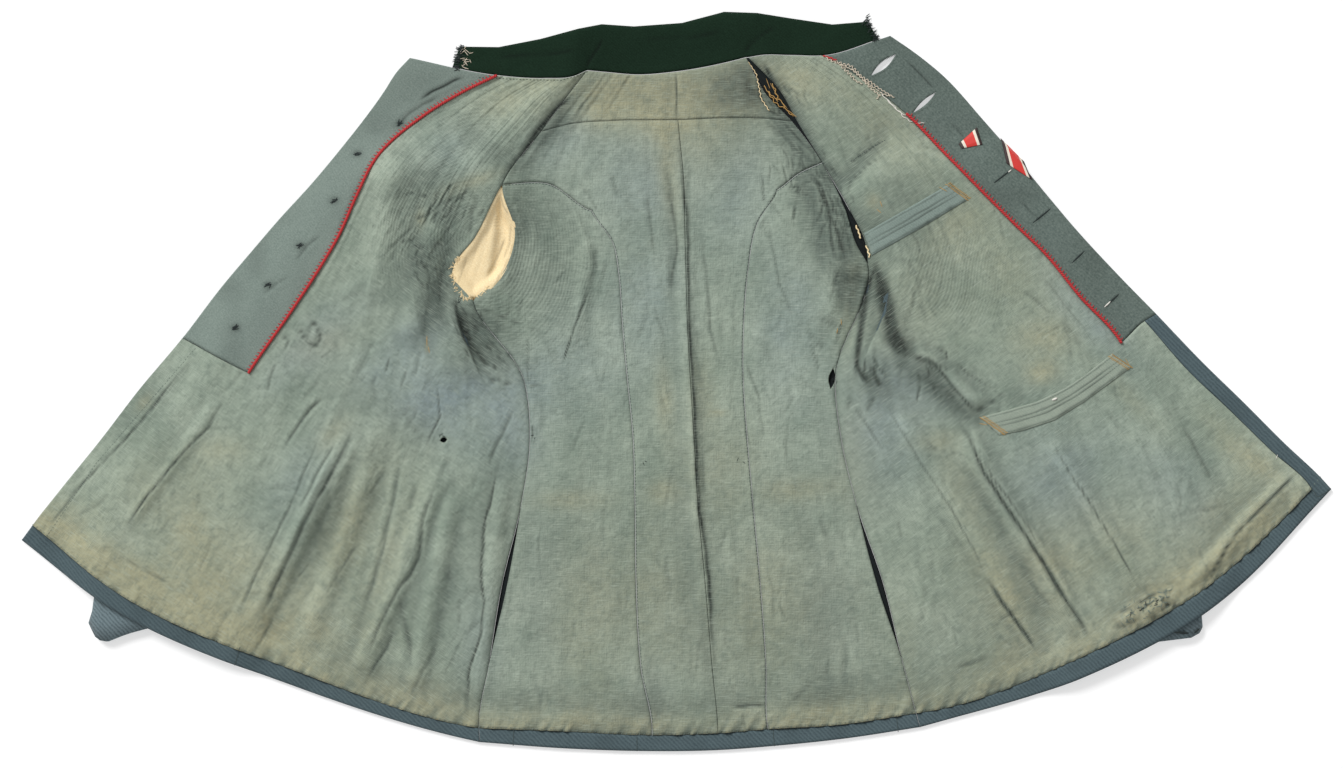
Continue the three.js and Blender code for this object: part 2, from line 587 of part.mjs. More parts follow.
// Hem turnings, facings
const turnings = [
  ["hem_front_right", both(between("leftEdge", "leftSide"), rising("hem", "hemTurning"))],
  ["hem_back", both(between("leftBack", "rightBack"), rising("hem", "hemTurning"))],
  [
    "hem_front_left",
    either(
      both(between("rightSide", "rightEdge"), rising("hem", "hemTurning")),
      both(between("rightStrip", "rightEdge"), rising("hemTurning", "waist")),
    ),
  ],
  ["facing_right", both(between("leftEdge", "leftFacing"), rising("waist"))],
  ["facing_left", both(between("rightFacing", "rightEdge"), rising("waist"))],
].map(([name, has]) => wallOfCells(name, CLOTH.facing, has, turningUnder, TURNING));

// Lining
const linings = [
  [
    "lining_front_right",
    either(
      both(between("leftFacing", "leftSide"), rising("hemTurning")),
      both(between("leftEdge", "leftFacing"), rising("hemTurning", "waist")),
    ),
  ],
  [
    "lining_front_left",
    either(
      both(between("rightSide", "rightFacing"), rising("hemTurning")),
      both(between("rightFacing", "rightStrip"), rising("hemTurning", "waist")),
    ),
  ],
  ["lining_side_right", both(between("leftBack", "leftPrincess"), rising("hemTurning", "armholeHead"))],
  ["lining_side_left", both(between("rightPrincess", "rightBack"), rising("hemTurning", "armholeHead"))],
  [
    "lining_back_right",
    either(
      both(between("leftPrincess", "centre"), rising("hemTurning", "shoulder")),
      both(between("leftBack", "leftPrincess"), rising("armholeHead", "shoulder")),
    ),
  ],
  [
    "lining_back_left",
    either(
      both(between("centre", "rightPrincess"), rising("hemTurning", "shoulder")),
      both(between("rightPrincess", "rightBack"), rising("armholeHead", "shoulder")),
    ),
  ],
  ["lining_yoke", both(between("leftBack", "rightBack"), rising("shoulder"))],
].map(([name, has]) => wallOfCells(name, CLOTH.lining, has, liningUnder, LINING));

// A wall between two grids of points, each `across` by `along`.
function wallOfGrids(name, cloth, low, high) {
  const along = low.length - 1;
  const across = low[0].length - 1;
  const points = [...low.flat(), ...high.flat()];
  const id = (i, j, top) => j * (across + 1) + i + (top ? low.length * (across + 1) : 0);
  const faces = [];
  for (let j = 0; j < along; j += 1) {
    for (let i = 0; i < across; i += 1) {
      faces.push([id(i, j, true), id(i + 1, j, true), id(i + 1, j + 1, true), id(i, j + 1, true)]);
      faces.push([id(i, j), id(i, j + 1), id(i + 1, j + 1), id(i + 1, j)]);
    }
    faces.push([id(0, j), id(0, j, true), id(0, j + 1, true), id(0, j + 1)]);
    faces.push([id(across, j), id(across, j + 1), id(across, j + 1, true), id(across, j, true)]);
  }
  for (let i = 0; i < across; i += 1) {
    faces.push([id(i, 0), id(i + 1, 0), id(i + 1, 0, true), id(i, 0, true)]);
    faces.push([id(i, along), id(i, along, true), id(i + 1, along, true), id(i + 1, along)]);
  }
  return solidMesh(name, cloth, points, faces);
}

// Sleeve: a flattened tube, open at the armhole and at the cuff. Its first ring follows the armhole.
function sleeveMesh(name, sleeve, backward, bulge) {
  const ringAt = (index, wall) => {
    const here = sleeve[index];
    const before = sleeve[Math.max(0, index - 1)];
    const after = sleeve[Math.min(sleeve.length - 1, index + 1)];
    const length = Math.hypot(after.x - before.x, after.y - before.y);
    const tangent = [(after.x - before.x) / length, (after.y - before.y) / length];
    const across = [-tangent[1], tangent[0]];
    const half = here.half - wall / UNIT;
    const ring = [];
    for (let k = 0; k < SLEEVE_SIDES; k += 1) {
      const angle = (2 * Math.PI * k) / SLEEVE_SIDES;
      const c = Math.sign(Math.cos(angle)) * Math.abs(Math.cos(angle)) ** 0.72;
      const s = Math.sign(Math.sin(angle)) * Math.abs(Math.sin(angle)) ** 0.72;
      const rise = Math.min(1, Math.max(-1, 1.2 * s)); // flat where it rests and where the front lies
      const z = here.high / 2 + rise * (here.high / 2 - wall);
      const follow = index === 0 && s < 0 ? backward * bulge * (1 - c * c) : 0;
      const [X, Y] = at(here.x + across[0] * c * half - follow * tangent[0],
        here.y + across[1] * c * half - follow * tangent[1]);
      ring.push([X, Y, z]);
    }
    return ring;
  };
  const outer = sleeve.map((_, index) => ringAt(index, 0));
  const inner = sleeve.map((_, index) => ringAt(index, SLEEVE_WALL));
  const points = [...outer.flat(), ...inner.flat()];
  const id = (ring, k, inside) =>
    (inside ? sleeve.length * SLEEVE_SIDES : 0) + ring * SLEEVE_SIDES + (k % SLEEVE_SIDES);
  const faces = [];
  for (let k = 0; k < SLEEVE_SIDES; k += 1) {
    for (let ring = 0; ring + 1 < sleeve.length; ring += 1) {
      faces.push([id(ring, k), id(ring + 1, k), id(ring + 1, k + 1), id(ring, k + 1)]);
      faces.push([id(ring, k + 1, true), id(ring + 1, k + 1, true), id(ring + 1, k, true), id(ring, k, true)]);
    }
    const end = sleeve.length - 1;
    faces.push([id(0, k), id(0, k + 1), id(0, k + 1, true), id(0, k, true)]);
    faces.push([id(end, k, true), id(end, k + 1, true), id(end, k + 1), id(end, k)]);
  }
  return solidMesh(name, CLOTH.wool, points, faces);
}
const sleeves = [
  sleeveMesh("sleeve_right", LEFT_SLEEVE, 1, MOUTH_BULGE.left),
  sleeveMesh("sleeve_left", RIGHT_SLEEVE, 1, MOUTH_BULGE.right),
];

// The collar's free edge for a place along the neck edge.
function collarEdge(neckX) {
  const after = Math.max(1, COLLAR_EDGE.findIndex((section) => section.neckX >= neckX));
  const [a, b] = [COLLAR_EDGE[after - 1], COLLAR_EDGE[after]];
  const t = Math.min(1, Math.max(0, (neckX - a.neckX) / (b.neckX - a.neckX)));
  return { x: a.x + t * (b.x - a.x), y: a.y + t * (b.y - a.y), z: a.z + t * (b.z - a.z) };
}

// Collar: two faces of cloth over canvas, as one wall, risen where the fronts fold over at the shoulders.
function collarMesh() {
  const low = [];
  for (let i = COLLAR_START_COLUMN; i <= columnOf.rightStrip; i += 1) {
    const node = net[rows][i];
    const edge = collarEdge(node.x / UNIT + PLAN_MIDDLE.x);
    const [X, Y] = at(edge.x, edge.y);
    const length = Math.hypot(X - node.x, Y - node.y);
    const line = [];
    for (let k = 0; k <= COLLAR_CELLS; k += 1) {
      const t = Math.max(k / COLLAR_CELLS, COLLAR_SEAM / length);
      const neckZ = node.z + COLLAR_SEAT;
      line.push([node.x + t * (X - node.x), node.y + t * (Y - node.y), neckZ + smooth(t) * (edge.z - neckZ)]);
    }
    low.push(line.reverse());
  }
  const high = low.map((line) => line.map(([x, y, z]) => [x, y, z + COLLAR]));
  return wallOfGrids("collar", CLOTH.collar, low, high);
}

// Cord along a column of the net, laid over the joint of facing and lining.
function cordMesh(name, column, first, last) {
  const path = [];
  for (let j = first; j <= last; j += 1) {
    const node = net[j][column];
    path.push(new THREE.Vector3(node.x, node.y, node.z + SHELL + TURNING + LAYER_GAP + CORD_SEAT));
  }
  path[path.length - 1].lerp(path[path.length - 2], CORD_SHORT);
  const section = new THREE.Shape();
  section.absellipse(0, 0, CORD_RADIUS, CORD_RADIUS, 0, 2 * Math.PI, false, 0);
  const geometry = new THREE.ExtrudeGeometry(section, {
    steps: path.length - 1,
    extrudePath: new THREE.CatmullRomCurve3(path),
    curveSegments: 3,
    bevelEnabled: false,
  });
  const mesh = new THREE.Mesh(geometry, CLOTH.red);
  mesh.name = name;
  return mesh;
}

// A three.js mesh as a manifold solid, and back.
function toSolid(mesh) {
  const bare = mesh.geometry.clone();
  for (const extra of Object.keys(bare.attributes)) {
    if (extra !== "position") bare.deleteAttribute(extra);
  }
  const merged = mergeVertices(bare, 1e-4);
  return new wasm.Manifold(
    new wasm.Mesh({
      numProp: 3,
      vertProperties: merged.attributes.position.array,
      triVerts: new Uint32Array(merged.index.array),
    }),
  );
}

function fromSolid(solid, name, cloth) {
  const made = solid.getMesh();
  const geometry = new THREE.BufferGeometry();
  geometry.setAttribute("position", new THREE.BufferAttribute(made.vertProperties, 3));
  geometry.setIndex(new THREE.BufferAttribute(made.triVerts, 1));
  const mesh = new THREE.Mesh(geometry, cloth);
  mesh.name = name;
  return mesh;
}

// An upright blade with the given outline in millimetres, anticlockwise.
function upright(outline) {
  const shape = new THREE.Shape(outline.map(([x, y]) => new THREE.Vector2(x, y)));
  const blade = new THREE.ExtrudeGeometry(shape, { depth: 2 * BLADE_HALF, bevelEnabled: false });
  blade.translate(0, 0, -BLADE_HALF);
  return toSolid(new THREE.Mesh(blade));
}

// Outline of a leaf-shaped gap between two plan points.
function leafOutline({ x0, y0, x1, y1, gap }) {
  const [ax, ay] = at(x0, y0);
  const [bx, by] = at(x1, y1);
  const length = Math.hypot(bx - ax, by - ay);
  const side = [-(by - ay) / length, (bx - ax) / length];
  const outline = [];
  for (const turn of [1, -1]) {
    for (let k = 0; k < LEAF_SIDES; k += 1) {
      const t = turn > 0 ? k / LEAF_SIDES : 1 - k / LEAF_SIDES;
      const out = turn * 0.5 * gap * Math.sin(Math.PI * t);
      outline.push([ax + t * (bx - ax) - side[0] * out, ay + t * (by - ay) - side[1] * out]);
    }
  }
  return outline;
}

// Outline of a strip of even width along a bent line of plan points.
function stripOutline(points, width) {
  const curve = new THREE.CatmullRomCurve3(points.map(([x, y]) => new THREE.Vector3(...at(x, y), 0)));
  const outline = [];
  for (const turn of [-1, 1]) {
    for (let k = 0; k <= STRIP_SIDES; k += 1) {
      const t = turn < 0 ? k / STRIP_SIDES : 1 - k / STRIP_SIDES;
      const place = curve.getPoint(t);
      const tangent = curve.getTangent(t);
      outline.push([
        place.x - turn * -tangent.y * width * 0.5,
        place.y - turn * tangent.x * width * 0.5,
      ]);
    }
  }
  return THREE.ShapeUtils.area(outline.map(([x, y]) => ({ x, y }))) > 0 ? outline : outline.reverse();
}

function cutGaps(mesh, gaps) {
  let solid = toSolid(mesh);
  for (const gap of gaps) solid = solid.subtract(upright(leafOutline(gap)));
  return fromSolid(solid, mesh.name, mesh.material);
}

const gapsOf = {
  shell_front_left: BUTTONHOLES,
  facing_left: BUTTONHOLES,
  lining_front_right: [LINING_HOLE],
  lining_side_left: [SEAM_TEAR],
};
const panels = [...shells, ...turnings, ...linings].map((mesh) =>
  gapsOf[mesh.name] ? cutGaps(mesh, gapsOf[mesh.name]) : mesh,
);

// Pocket welts lie on the front lining and ribbon ends on the facing, and take their facets from them.
function laidOn(name, cloth, has, under, thickness, outline) {
  const skin = toSolid(wallOfCells(name, cloth, has, under, thickness));
  return fromSolid(skin.intersect(upright(outline)), name, cloth);
}

const onLining = (node) => liningUnder(node) + LINING + LAYER_GAP;
const onFacing = (node) => turningUnder(node) + TURNING + LAYER_GAP;
const welts = WELTS.map(({ name, points, width }) =>
  laidOn(name, CLOTH.lining, between("rightSide", "rightFacing"), onLining, WELT, stripOutline(points, width)),
);
const ribbons = RIBBONS.map(({ name, corners }) =>
  laidOn(name, CLOTH.red, between("rightFacing", "rightEdge"), onFacing, RIBBON,
    corners.map(([x, y]) => at(x, y))),
);

const tunic = new THREE.Group();
tunic.add(...panels, ...sleeves, collarMesh());
tunic.add(cordMesh("edging_cord_right", columnOf.leftFacing, rowOf.waist, rowOf.neck));
tunic.add(cordMesh("edging_cord_left", columnOf.rightFacing, rowOf.waist, rowOf.shoulder));
tunic.add(...welts, ...ribbons);

export default tunic;
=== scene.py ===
# %% [markdown]
# # A riding tunic laid open on its back
#
# The object is a wool tunic, opened flat with its lining up. This lesson dresses a plain model of it.
# The plain model gives the size and place of each piece, and this script makes each piece again as cloth,
# with the folds, stains, sewing and worn places that the eye looks for.
# Lengths are in millimetres while we work, and become metres when a mesh is made.

# %% Load the fixed frame
import math

import bpy
import numpy as np
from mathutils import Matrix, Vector
from mathutils.bvhtree import BVHTree


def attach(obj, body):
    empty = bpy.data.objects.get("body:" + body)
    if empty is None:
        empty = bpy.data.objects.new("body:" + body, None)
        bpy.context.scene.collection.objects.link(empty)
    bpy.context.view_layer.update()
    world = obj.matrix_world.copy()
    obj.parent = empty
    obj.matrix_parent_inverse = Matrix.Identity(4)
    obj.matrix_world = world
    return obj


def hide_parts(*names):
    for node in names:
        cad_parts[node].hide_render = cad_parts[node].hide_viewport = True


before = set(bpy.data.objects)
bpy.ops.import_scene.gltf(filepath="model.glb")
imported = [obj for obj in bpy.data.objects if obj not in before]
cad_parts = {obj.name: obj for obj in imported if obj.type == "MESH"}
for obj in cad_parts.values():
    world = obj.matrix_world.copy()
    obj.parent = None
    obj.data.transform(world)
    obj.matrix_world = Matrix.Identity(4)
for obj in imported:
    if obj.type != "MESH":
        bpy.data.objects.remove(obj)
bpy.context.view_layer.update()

MM = 0.001
print("solids loaded:", len(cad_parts))

# %% [markdown]
# ## One net for the whole tunic
#
# A tailor thinks in seam lines that run from hem to neck, and in sections across them, such as waist and
# chest. We do the same: a table gives each seam line's place at each section, in units of a plan drawing
# 1343 wide and 768 high, with y running down. Smooth curves join them, and the cells between are cloth.
# A net keeps neighbouring panels together along their seams, which separate hand-made meshes would not.
# Left and right in the names of the seam lines are as seen from above.

# %% Plan units
UNIT = 700 / 679  # millimetres in one plan unit: the centre back is 700 mm, and 679 units, long
MIDDLE_X = 676.5
MIDDLE_Y = 380.9


def to_mm(x, y):
    """Plan units to millimetres from the middle of the tunic."""
    return (np.asarray(x, float) - MIDDLE_X) * UNIT, (MIDDLE_Y - np.asarray(y, float)) * UNIT


# %% Seam lines and sections
SEAM_LINES = (
    "left_edge", "left_facing", "left_mid", "left_roll", "left_side",
    "left_back", "left_panel", "left_princess", "centre", "right_princess", "right_panel", "right_back",
    "right_side", "right_roll", "right_mid", "right_facing", "right_strip", "right_edge",
)
SEAM = {name: index for index, name in enumerate(SEAM_LINES)}
RUNS = ((0, 4), (5, 11), (12, 17))  # first and last seam line of right front, back and left front

# Each section: x, y and the height of the outer cloth's underside, at each seam line in turn.
SECTIONS = {
    "hem": (
        (22, 540, 0), (100, 600, 0), (300, 688, 0), (462, 738, 0), (480, 742, 0),
        (480, 742, 0), (560, 748, 0), (650, 751, 0), (718, 750, 0), (772, 746, 0), (848, 738, 0), (920, 727, 0),
        (920, 727, 0), (938, 722, 0), (1080, 678, 0), (1232, 592, 0), (1318, 503, 0), (1331, 489, 0),
    ),
    "hem_turning": (
        (33, 525, 0), (112, 588, 0), (302, 673, 0), (462, 725, 0), (479, 728, 0),
        (479, 728, 0), (560, 731, 0), (652, 735, 0), (718, 733, 0), (768, 729, 0), (845, 724, 0), (916, 713, 0),
        (916, 713, 0), (935, 710, 0), (1075, 659, 0), (1220, 576, 0), (1311, 489, 0), (1321, 478, 0),
    ),
    "low_skirt": (
        (62, 488, 0), (146, 545, 1), (316, 615, 2), (472, 668, 1), (489, 665, 0),
        (489, 665, 0), (562, 668, 0), (641, 668, 0), (712, 665, 0), (766, 665, 0), (835, 664, 0), (902, 660, 0),
        (902, 660, 0), (920, 655, 1), (1042, 606, 3), (1185, 530, 1), (1270, 450, 0), (1284, 443, 0),
    ),
    "mid_skirt": (
        (100, 441, 0), (183, 487, 2), (335, 545, 3), (484, 585, 2), (502, 585, 0),
        (507, 585, 0), (568, 582, 0), (636, 580, 0), (705, 580, 0), (760, 580, 0), (820, 582, 0), (877, 584, 0),
        (883, 583, 0), (898, 578, 2), (1012, 547, 4), (1155, 468, 2), (1229, 410, 0), (1243, 402, 0),
    ),
    "high_skirt": (
        (140, 389, 0), (217, 430, 2), (352, 478, 4), (505, 507, 3), (521, 506, 0),
        (521, 506, 0), (578, 504, 0), (635, 503, 0), (698, 503, 0), (753, 503, 0), (805, 503, 0), (856, 503, 0),
        (856, 503, 0), (873, 498, 3), (980, 478, 5), (1136, 405, 2), (1187, 370, 0), (1200, 360, 0),
    ),
    "waist": (
        (183, 338, 0), (250, 373, 2), (372, 415, 5), (512, 442, 4), (530, 440, 0),
        (530, 440, 0), (582, 438, 0), (633, 437, 0), (694, 435, 0), (747, 435, 0), (794, 436, 0), (841, 438, 0),
        (841, 438, 0), (860, 430, 5), (960, 402, 7), (1120, 343, 2), (1144, 321, 0), (1156, 314, 0),
    ),
    "low_chest": (
        (222, 287, 0), (293, 311, 2), (390, 352, 6), (505, 384, 5), (524, 380, 1),
        (524, 380, 1), (576, 377, 0), (627, 375, 0), (690, 372, 0), (743, 372, 0), (789, 375, 0), (835, 378, 1),
        (835, 378, 1), (855, 366, 8), (945, 335, 8), (1078, 296, 2), (1104, 281, 0), (1115, 272, 0),
    ),
    "armhole_foot": (
        (255, 248, 0), (325, 262, 2), (395, 290, 6), (455, 303, 4), (474, 301, 1),
        (474, 301, 1), (548, 315, 0), (622, 318, 0), (687, 310, 0), (744, 318, 0), (806, 300, 1), (867, 264, 3),
        (867, 264, 3), (884, 262, 9), (950, 262, 6), (1042, 252, 2), (1063, 238, 0), (1075, 229, 0),
    ),
    "armhole_low": (
        (280, 219, 0), (340, 236, 2), (398, 258, 5), (438, 270, 3), (454, 272, 1),
        (501, 276, 0), (560, 276, 0), (619, 275, 0), (686, 268, 0), (748, 270, 0), (803, 262, 1), (857, 247, 3),
        (865, 246, 3), (881, 242, 8), (940, 232, 5), (1015, 226, 2), (1036, 206, 0), (1048, 197, 0),
    ),
    "armhole_high": (
        (312, 184, 0), (357, 198, 2), (420, 218, 5), (462, 230, 3), (477, 236, 2),
        (515, 236, 0), (564, 238, 0), (613, 243, 0), (685, 232, 0), (757, 224, 0), (802, 216, 2), (844, 208, 4),
        (847, 207, 4), (864, 203, 10), (920, 195, 5), (985, 196, 2), (1008, 172, 0), (1020, 163, 0),
    ),
    "armhole_head": (
        (345, 144, 0), (378, 157, 2), (445, 172, 6), (486, 175, 9), (503, 185, 3),
        (503, 185, 3), (548, 184, 0), (592, 211, 0), (684, 185, 0), (777, 190, 0), (800, 173, 2), (822, 163, 4),
        (822, 163, 4), (838, 155, 12), (892, 150, 5), (948, 158, 2), (971, 130, 0), (983, 120, 0),
    ),
    "shoulder": (
        (384, 92, 0), (424, 116, 2), (487, 122, 6), (526, 126, 11), (541, 132, 3),
        (541, 132, 3), (572, 124, 1), (610, 121, 0), (678, 120, 0), (740, 118, 0), (768, 119, 1), (792, 122, 3),
        (797, 122, 4), (812, 120, 12), (855, 112, 5), (906, 114, 2), (932, 84, 0), (942, 75, 0),
    ),
    "yoke": (
        (397, 72, 0), (462, 93, 3), (515, 97, 6), (550, 98, 10), (564, 101, 3),
        (564, 101, 3), (592, 98, 1), (622, 97, 0), (676, 96, 0), (724, 93, 0), (746, 92, 1), (764, 92, 3),
        (780, 92, 4), (795, 90, 11), (830, 85, 5), (868, 84, 3), (902, 58, 0), (912, 51, 0),
    ),
    "neck": (
        (410, 58, 0), (497, 76, 4), (545, 79, 5), (574, 77, 7), (587, 71, 3),
        (587, 71, 3), (610, 73, 1), (635, 75, 0), (676, 72, 0), (712, 66, 0), (730, 62, 1), (746, 58, 3),
        (748, 58, 3), (762, 56, 7), (790, 56, 5), (825, 56, 4), (878, 40, 0), (890, 36, 0),
    ),
}
SECTION = {name: index for index, name in enumerate(SECTIONS)}
sections = np.array(list(SECTIONS.values()), float)
print("net of", len(SEAM_LINES), "seam lines and", len(SECTIONS), "sections")

# %% [markdown]
# The curve through a line of points leans, at each point, towards the shorter of the two spans that meet
# there, so a short span never swings past its end. It is the same rule as in the plain model.

# %% Smooth curves through the table
STEP_ACROSS = 2.1  # millimetres between the net's lines at the hem, where they are widest apart
STEP_ALONG = 3.5  # most folds run from chest to hem, so fewer points are needed that way


def along_curve(points, index, share):
    """Place on a curve through points (..., n, 3), at a share of the span after the given one."""
    last = points.shape[-2] - 1

    def point(k):
        return points[..., min(last, max(0, k)), :]

    def span(a, b):
        return np.maximum(1, np.hypot(b[..., 0] - a[..., 0], b[..., 1] - a[..., 1]))[..., None]

    def slope(k):
        before, after = (point(k) - point(k - 1)), (point(k + 1) - point(k))
        first, second = span(point(k - 1), point(k)), span(point(k), point(k + 1))
        if k <= 0:
            return after / second
        if k >= last:
            return before / first
        return (before / first * second + after / second * first) / (first + second)

    here, following = point(index), point(index + 1)
    t2, t3 = share**2, share**3
    ends = here * (2 * t3 - 3 * t2 + 1) + following * (3 * t2 - 2 * t3)
    lean = slope(index) * (t3 - 2 * t2 + share) + slope(index + 1) * (t3 - t2)
    return ends + span(here, following) * lean


def section_rows():
    """The seam lines' places on closely spaced sections, with closed seams kept together."""
    rows, marks = [], []
    for index in range(len(SECTIONS) - 1):
        gap = np.abs(sections[index + 1] - sections[index])[:, :2]
        cells = max(2, math.ceil(np.median(np.hypot(gap[:, 0], gap[:, 1])) * UNIT / STEP_ALONG))
        marks.append(len(rows))
        for k in range(cells):
            row = np.array([along_curve(sections[:, seam], index, k / cells) for seam in range(len(SEAM_LINES))])
            for _, edge in RUNS[:-1]:
                pair = sections[index : index + 2, edge : edge + 2]
                if np.array_equal(pair[:, 0], pair[:, 1]):
                    row[edge] = row[edge + 1] = (row[edge] + row[edge + 1]) / 2
            rows.append(row)
    marks.append(len(rows))
    rows.append(sections[-1])
    return np.array(rows), marks


def net_of(rows):
    """The net's crossings, and the column at which each seam line lies."""
    columns, marks = [], []
    for first, last in RUNS:
        run = rows[:, first : last + 1]
        for index in range(last - first):
            widest = np.hypot(*(run[:, index + 1, :2] - run[:, index, :2]).T).max() * UNIT
            cells = max(1, math.ceil(widest / STEP_ACROSS))
            marks.append(len(columns))
            columns += [along_curve(run, index, k / cells) for k in range(cells)]
        marks.append(len(columns))
        columns.append(run[:, -1])
    return np.stack(columns, axis=1), marks


seam_rows, row_marks = section_rows()
net, column_marks = net_of(seam_rows)
ROW = {name: row_marks[index] for name, index in SECTION.items()}
COLUMN = {name: column_marks[index] for name, index in SEAM.items()}
plan_x, plan_y = net[..., 0], net[..., 1]
place_x, place_y = to_mm(plan_x, plan_y)
print("net crossings:", net.shape[0], "by", net.shape[1])

# %% [markdown]
# ## What lifts the cloth
#
# The fronts lie on the flattened sleeves, and the lining has loose folds of its own. Both are worked out
# from short tables: the middle line and half width of each sleeve, and the two ends of each fold.

# %% Sleeves under the fronts
SHELL = 2.2
TURNING = 2.0
LINING = 1.2
LAYER_GAP = 0.3
# Middle line x, y, half width in plan units, height in millimetres, from the armhole to the cuff.
RIGHT_SLEEVE = (
    (488.5, 243.5, 57, 9.8), (446, 238, 76, 9.8), (404, 258, 88, 9.8), (366, 308, 90, 9.8), (324, 362, 88, 9.5),
    (280, 414, 84, 9.5), (236, 466, 80, 9.5), (196, 516, 77, 9.5), (170, 570, 73, 9.5), (169, 624, 69, 9.5),
)
LEFT_SLEEVE = (
    (855, 231, 34, 9.8), (900, 226, 66, 9.8), (942, 247, 84, 9.8), (976, 297, 90, 9.8),
    (1008, 352, 88, 9.5), (1040, 408, 85, 9.5), (1072, 465, 81, 9.5), (1101, 523, 78, 9.5),
    (1124, 580, 74, 9.5), (1131, 638, 70, 9.5),
)
SLEEVE_CLEARANCE = 0.4
RAMP_FULL = 0.92  # share of the half width at which the cloth starts to fall
RAMP_FOOT = 1.62  # and at which it is down
MOUTH_RAMP = 42


def smooth(value):
    share = np.clip(value, 0, 1)
    return share * share * (3 - 2 * share)


def sleeve_lift(x, y):
    """Height that the sleeves give the cloth over them, at plan points."""
    lift = np.zeros_like(x)
    for sleeve in (np.array(RIGHT_SLEEVE), np.array(LEFT_SLEEVE)):
        nearest = np.full_like(x, 1e9)
        height = np.zeros_like(x)
        for index in range(len(sleeve) - 1):
            a, b = sleeve[index], sleeve[index + 1]
            step = b[:2] - a[:2]
            raw = ((x - a[0]) * step[0] + (y - a[1]) * step[1]) / (step @ step)
            share = np.clip(raw, 0, 1)
            off = np.hypot(x - a[0] - share * step[0], y - a[1] - share * step[1])
            past = np.where(raw < 0, -raw * np.hypot(*step), 0) if index == 0 else np.zeros_like(x)
            side = np.sqrt(np.maximum(0, off**2 - past**2))
            half, high = (a[k] + share * (b[k] - a[k]) for k in (2, 3))
            fall = smooth((side / half - RAMP_FULL) / (RAMP_FOOT - RAMP_FULL))
            here = (high + SLEEVE_CLEARANCE) * (1 - fall) * (1 - smooth(past / MOUTH_RAMP))
            height = np.where(off < nearest, here, height)
            nearest = np.minimum(off, nearest)
        lift = np.maximum(lift, height)
    return lift


# %% Large folds of the lining
# Ends in plan units, then the rise and half the width in millimetres.
FOLDS = (
    (222, 398, 122, 532, 3, 13), (352, 430, 246, 640, 6, 20), (378, 452, 300, 655, 5, 18), (446, 458, 352, 690, 6, 20),
    (455, 480, 412, 700, 5, 16), (506, 470, 476, 712, 4, 13), (395, 150, 372, 305, 5, 24), (440, 215, 408, 345, 6, 20),
    (588, 228, 575, 350, 3, 14), (676, 150, 705, 700, 2.5, 13), (835, 205, 828, 330, 3, 16),
    (908, 352, 984, 412, 7, 17), (885, 400, 1044, 655, 4, 18), (958, 428, 1078, 640, 7, 19),
    (1040, 430, 1142, 592, 3, 15), (1150, 390, 1225, 520, 3, 16), (1296, 474, 1180, 590, 5, 14),
)
FOLD_TAPER = 0.18


def fold_lift(x, y):
    """Height of the large folds over the cloth that the lining lies on, at plan points."""
    lift = np.zeros_like(x)
    for x0, y0, x1, y1, rise, half in FOLDS:
        dx, dy = x1 - x0, y1 - y0
        share = ((x - x0) * dx + (y - y0) * dy) / (dx * dx + dy * dy)
        off = np.abs((x - x0) * dy - (y - y0) * dx) / math.hypot(dx, dy) * UNIT
        end = smooth(np.minimum(share, 1 - share) / FOLD_TAPER)
        hump = 0.5 * (1 + np.cos(np.pi * np.minimum(off / half, 1)))
        lift = np.maximum(lift, np.where((share > 0) & (share < 1), rise * end * hump, 0))
    return lift


outer_low = np.maximum(0, net[..., 2]) + sleeve_lift(plan_x, plan_y)
folds = fold_lift(plan_x, plan_y)
print("outer cloth rises to %.1f mm, folds to %.1f mm" % (outer_low.max(), folds.max()))
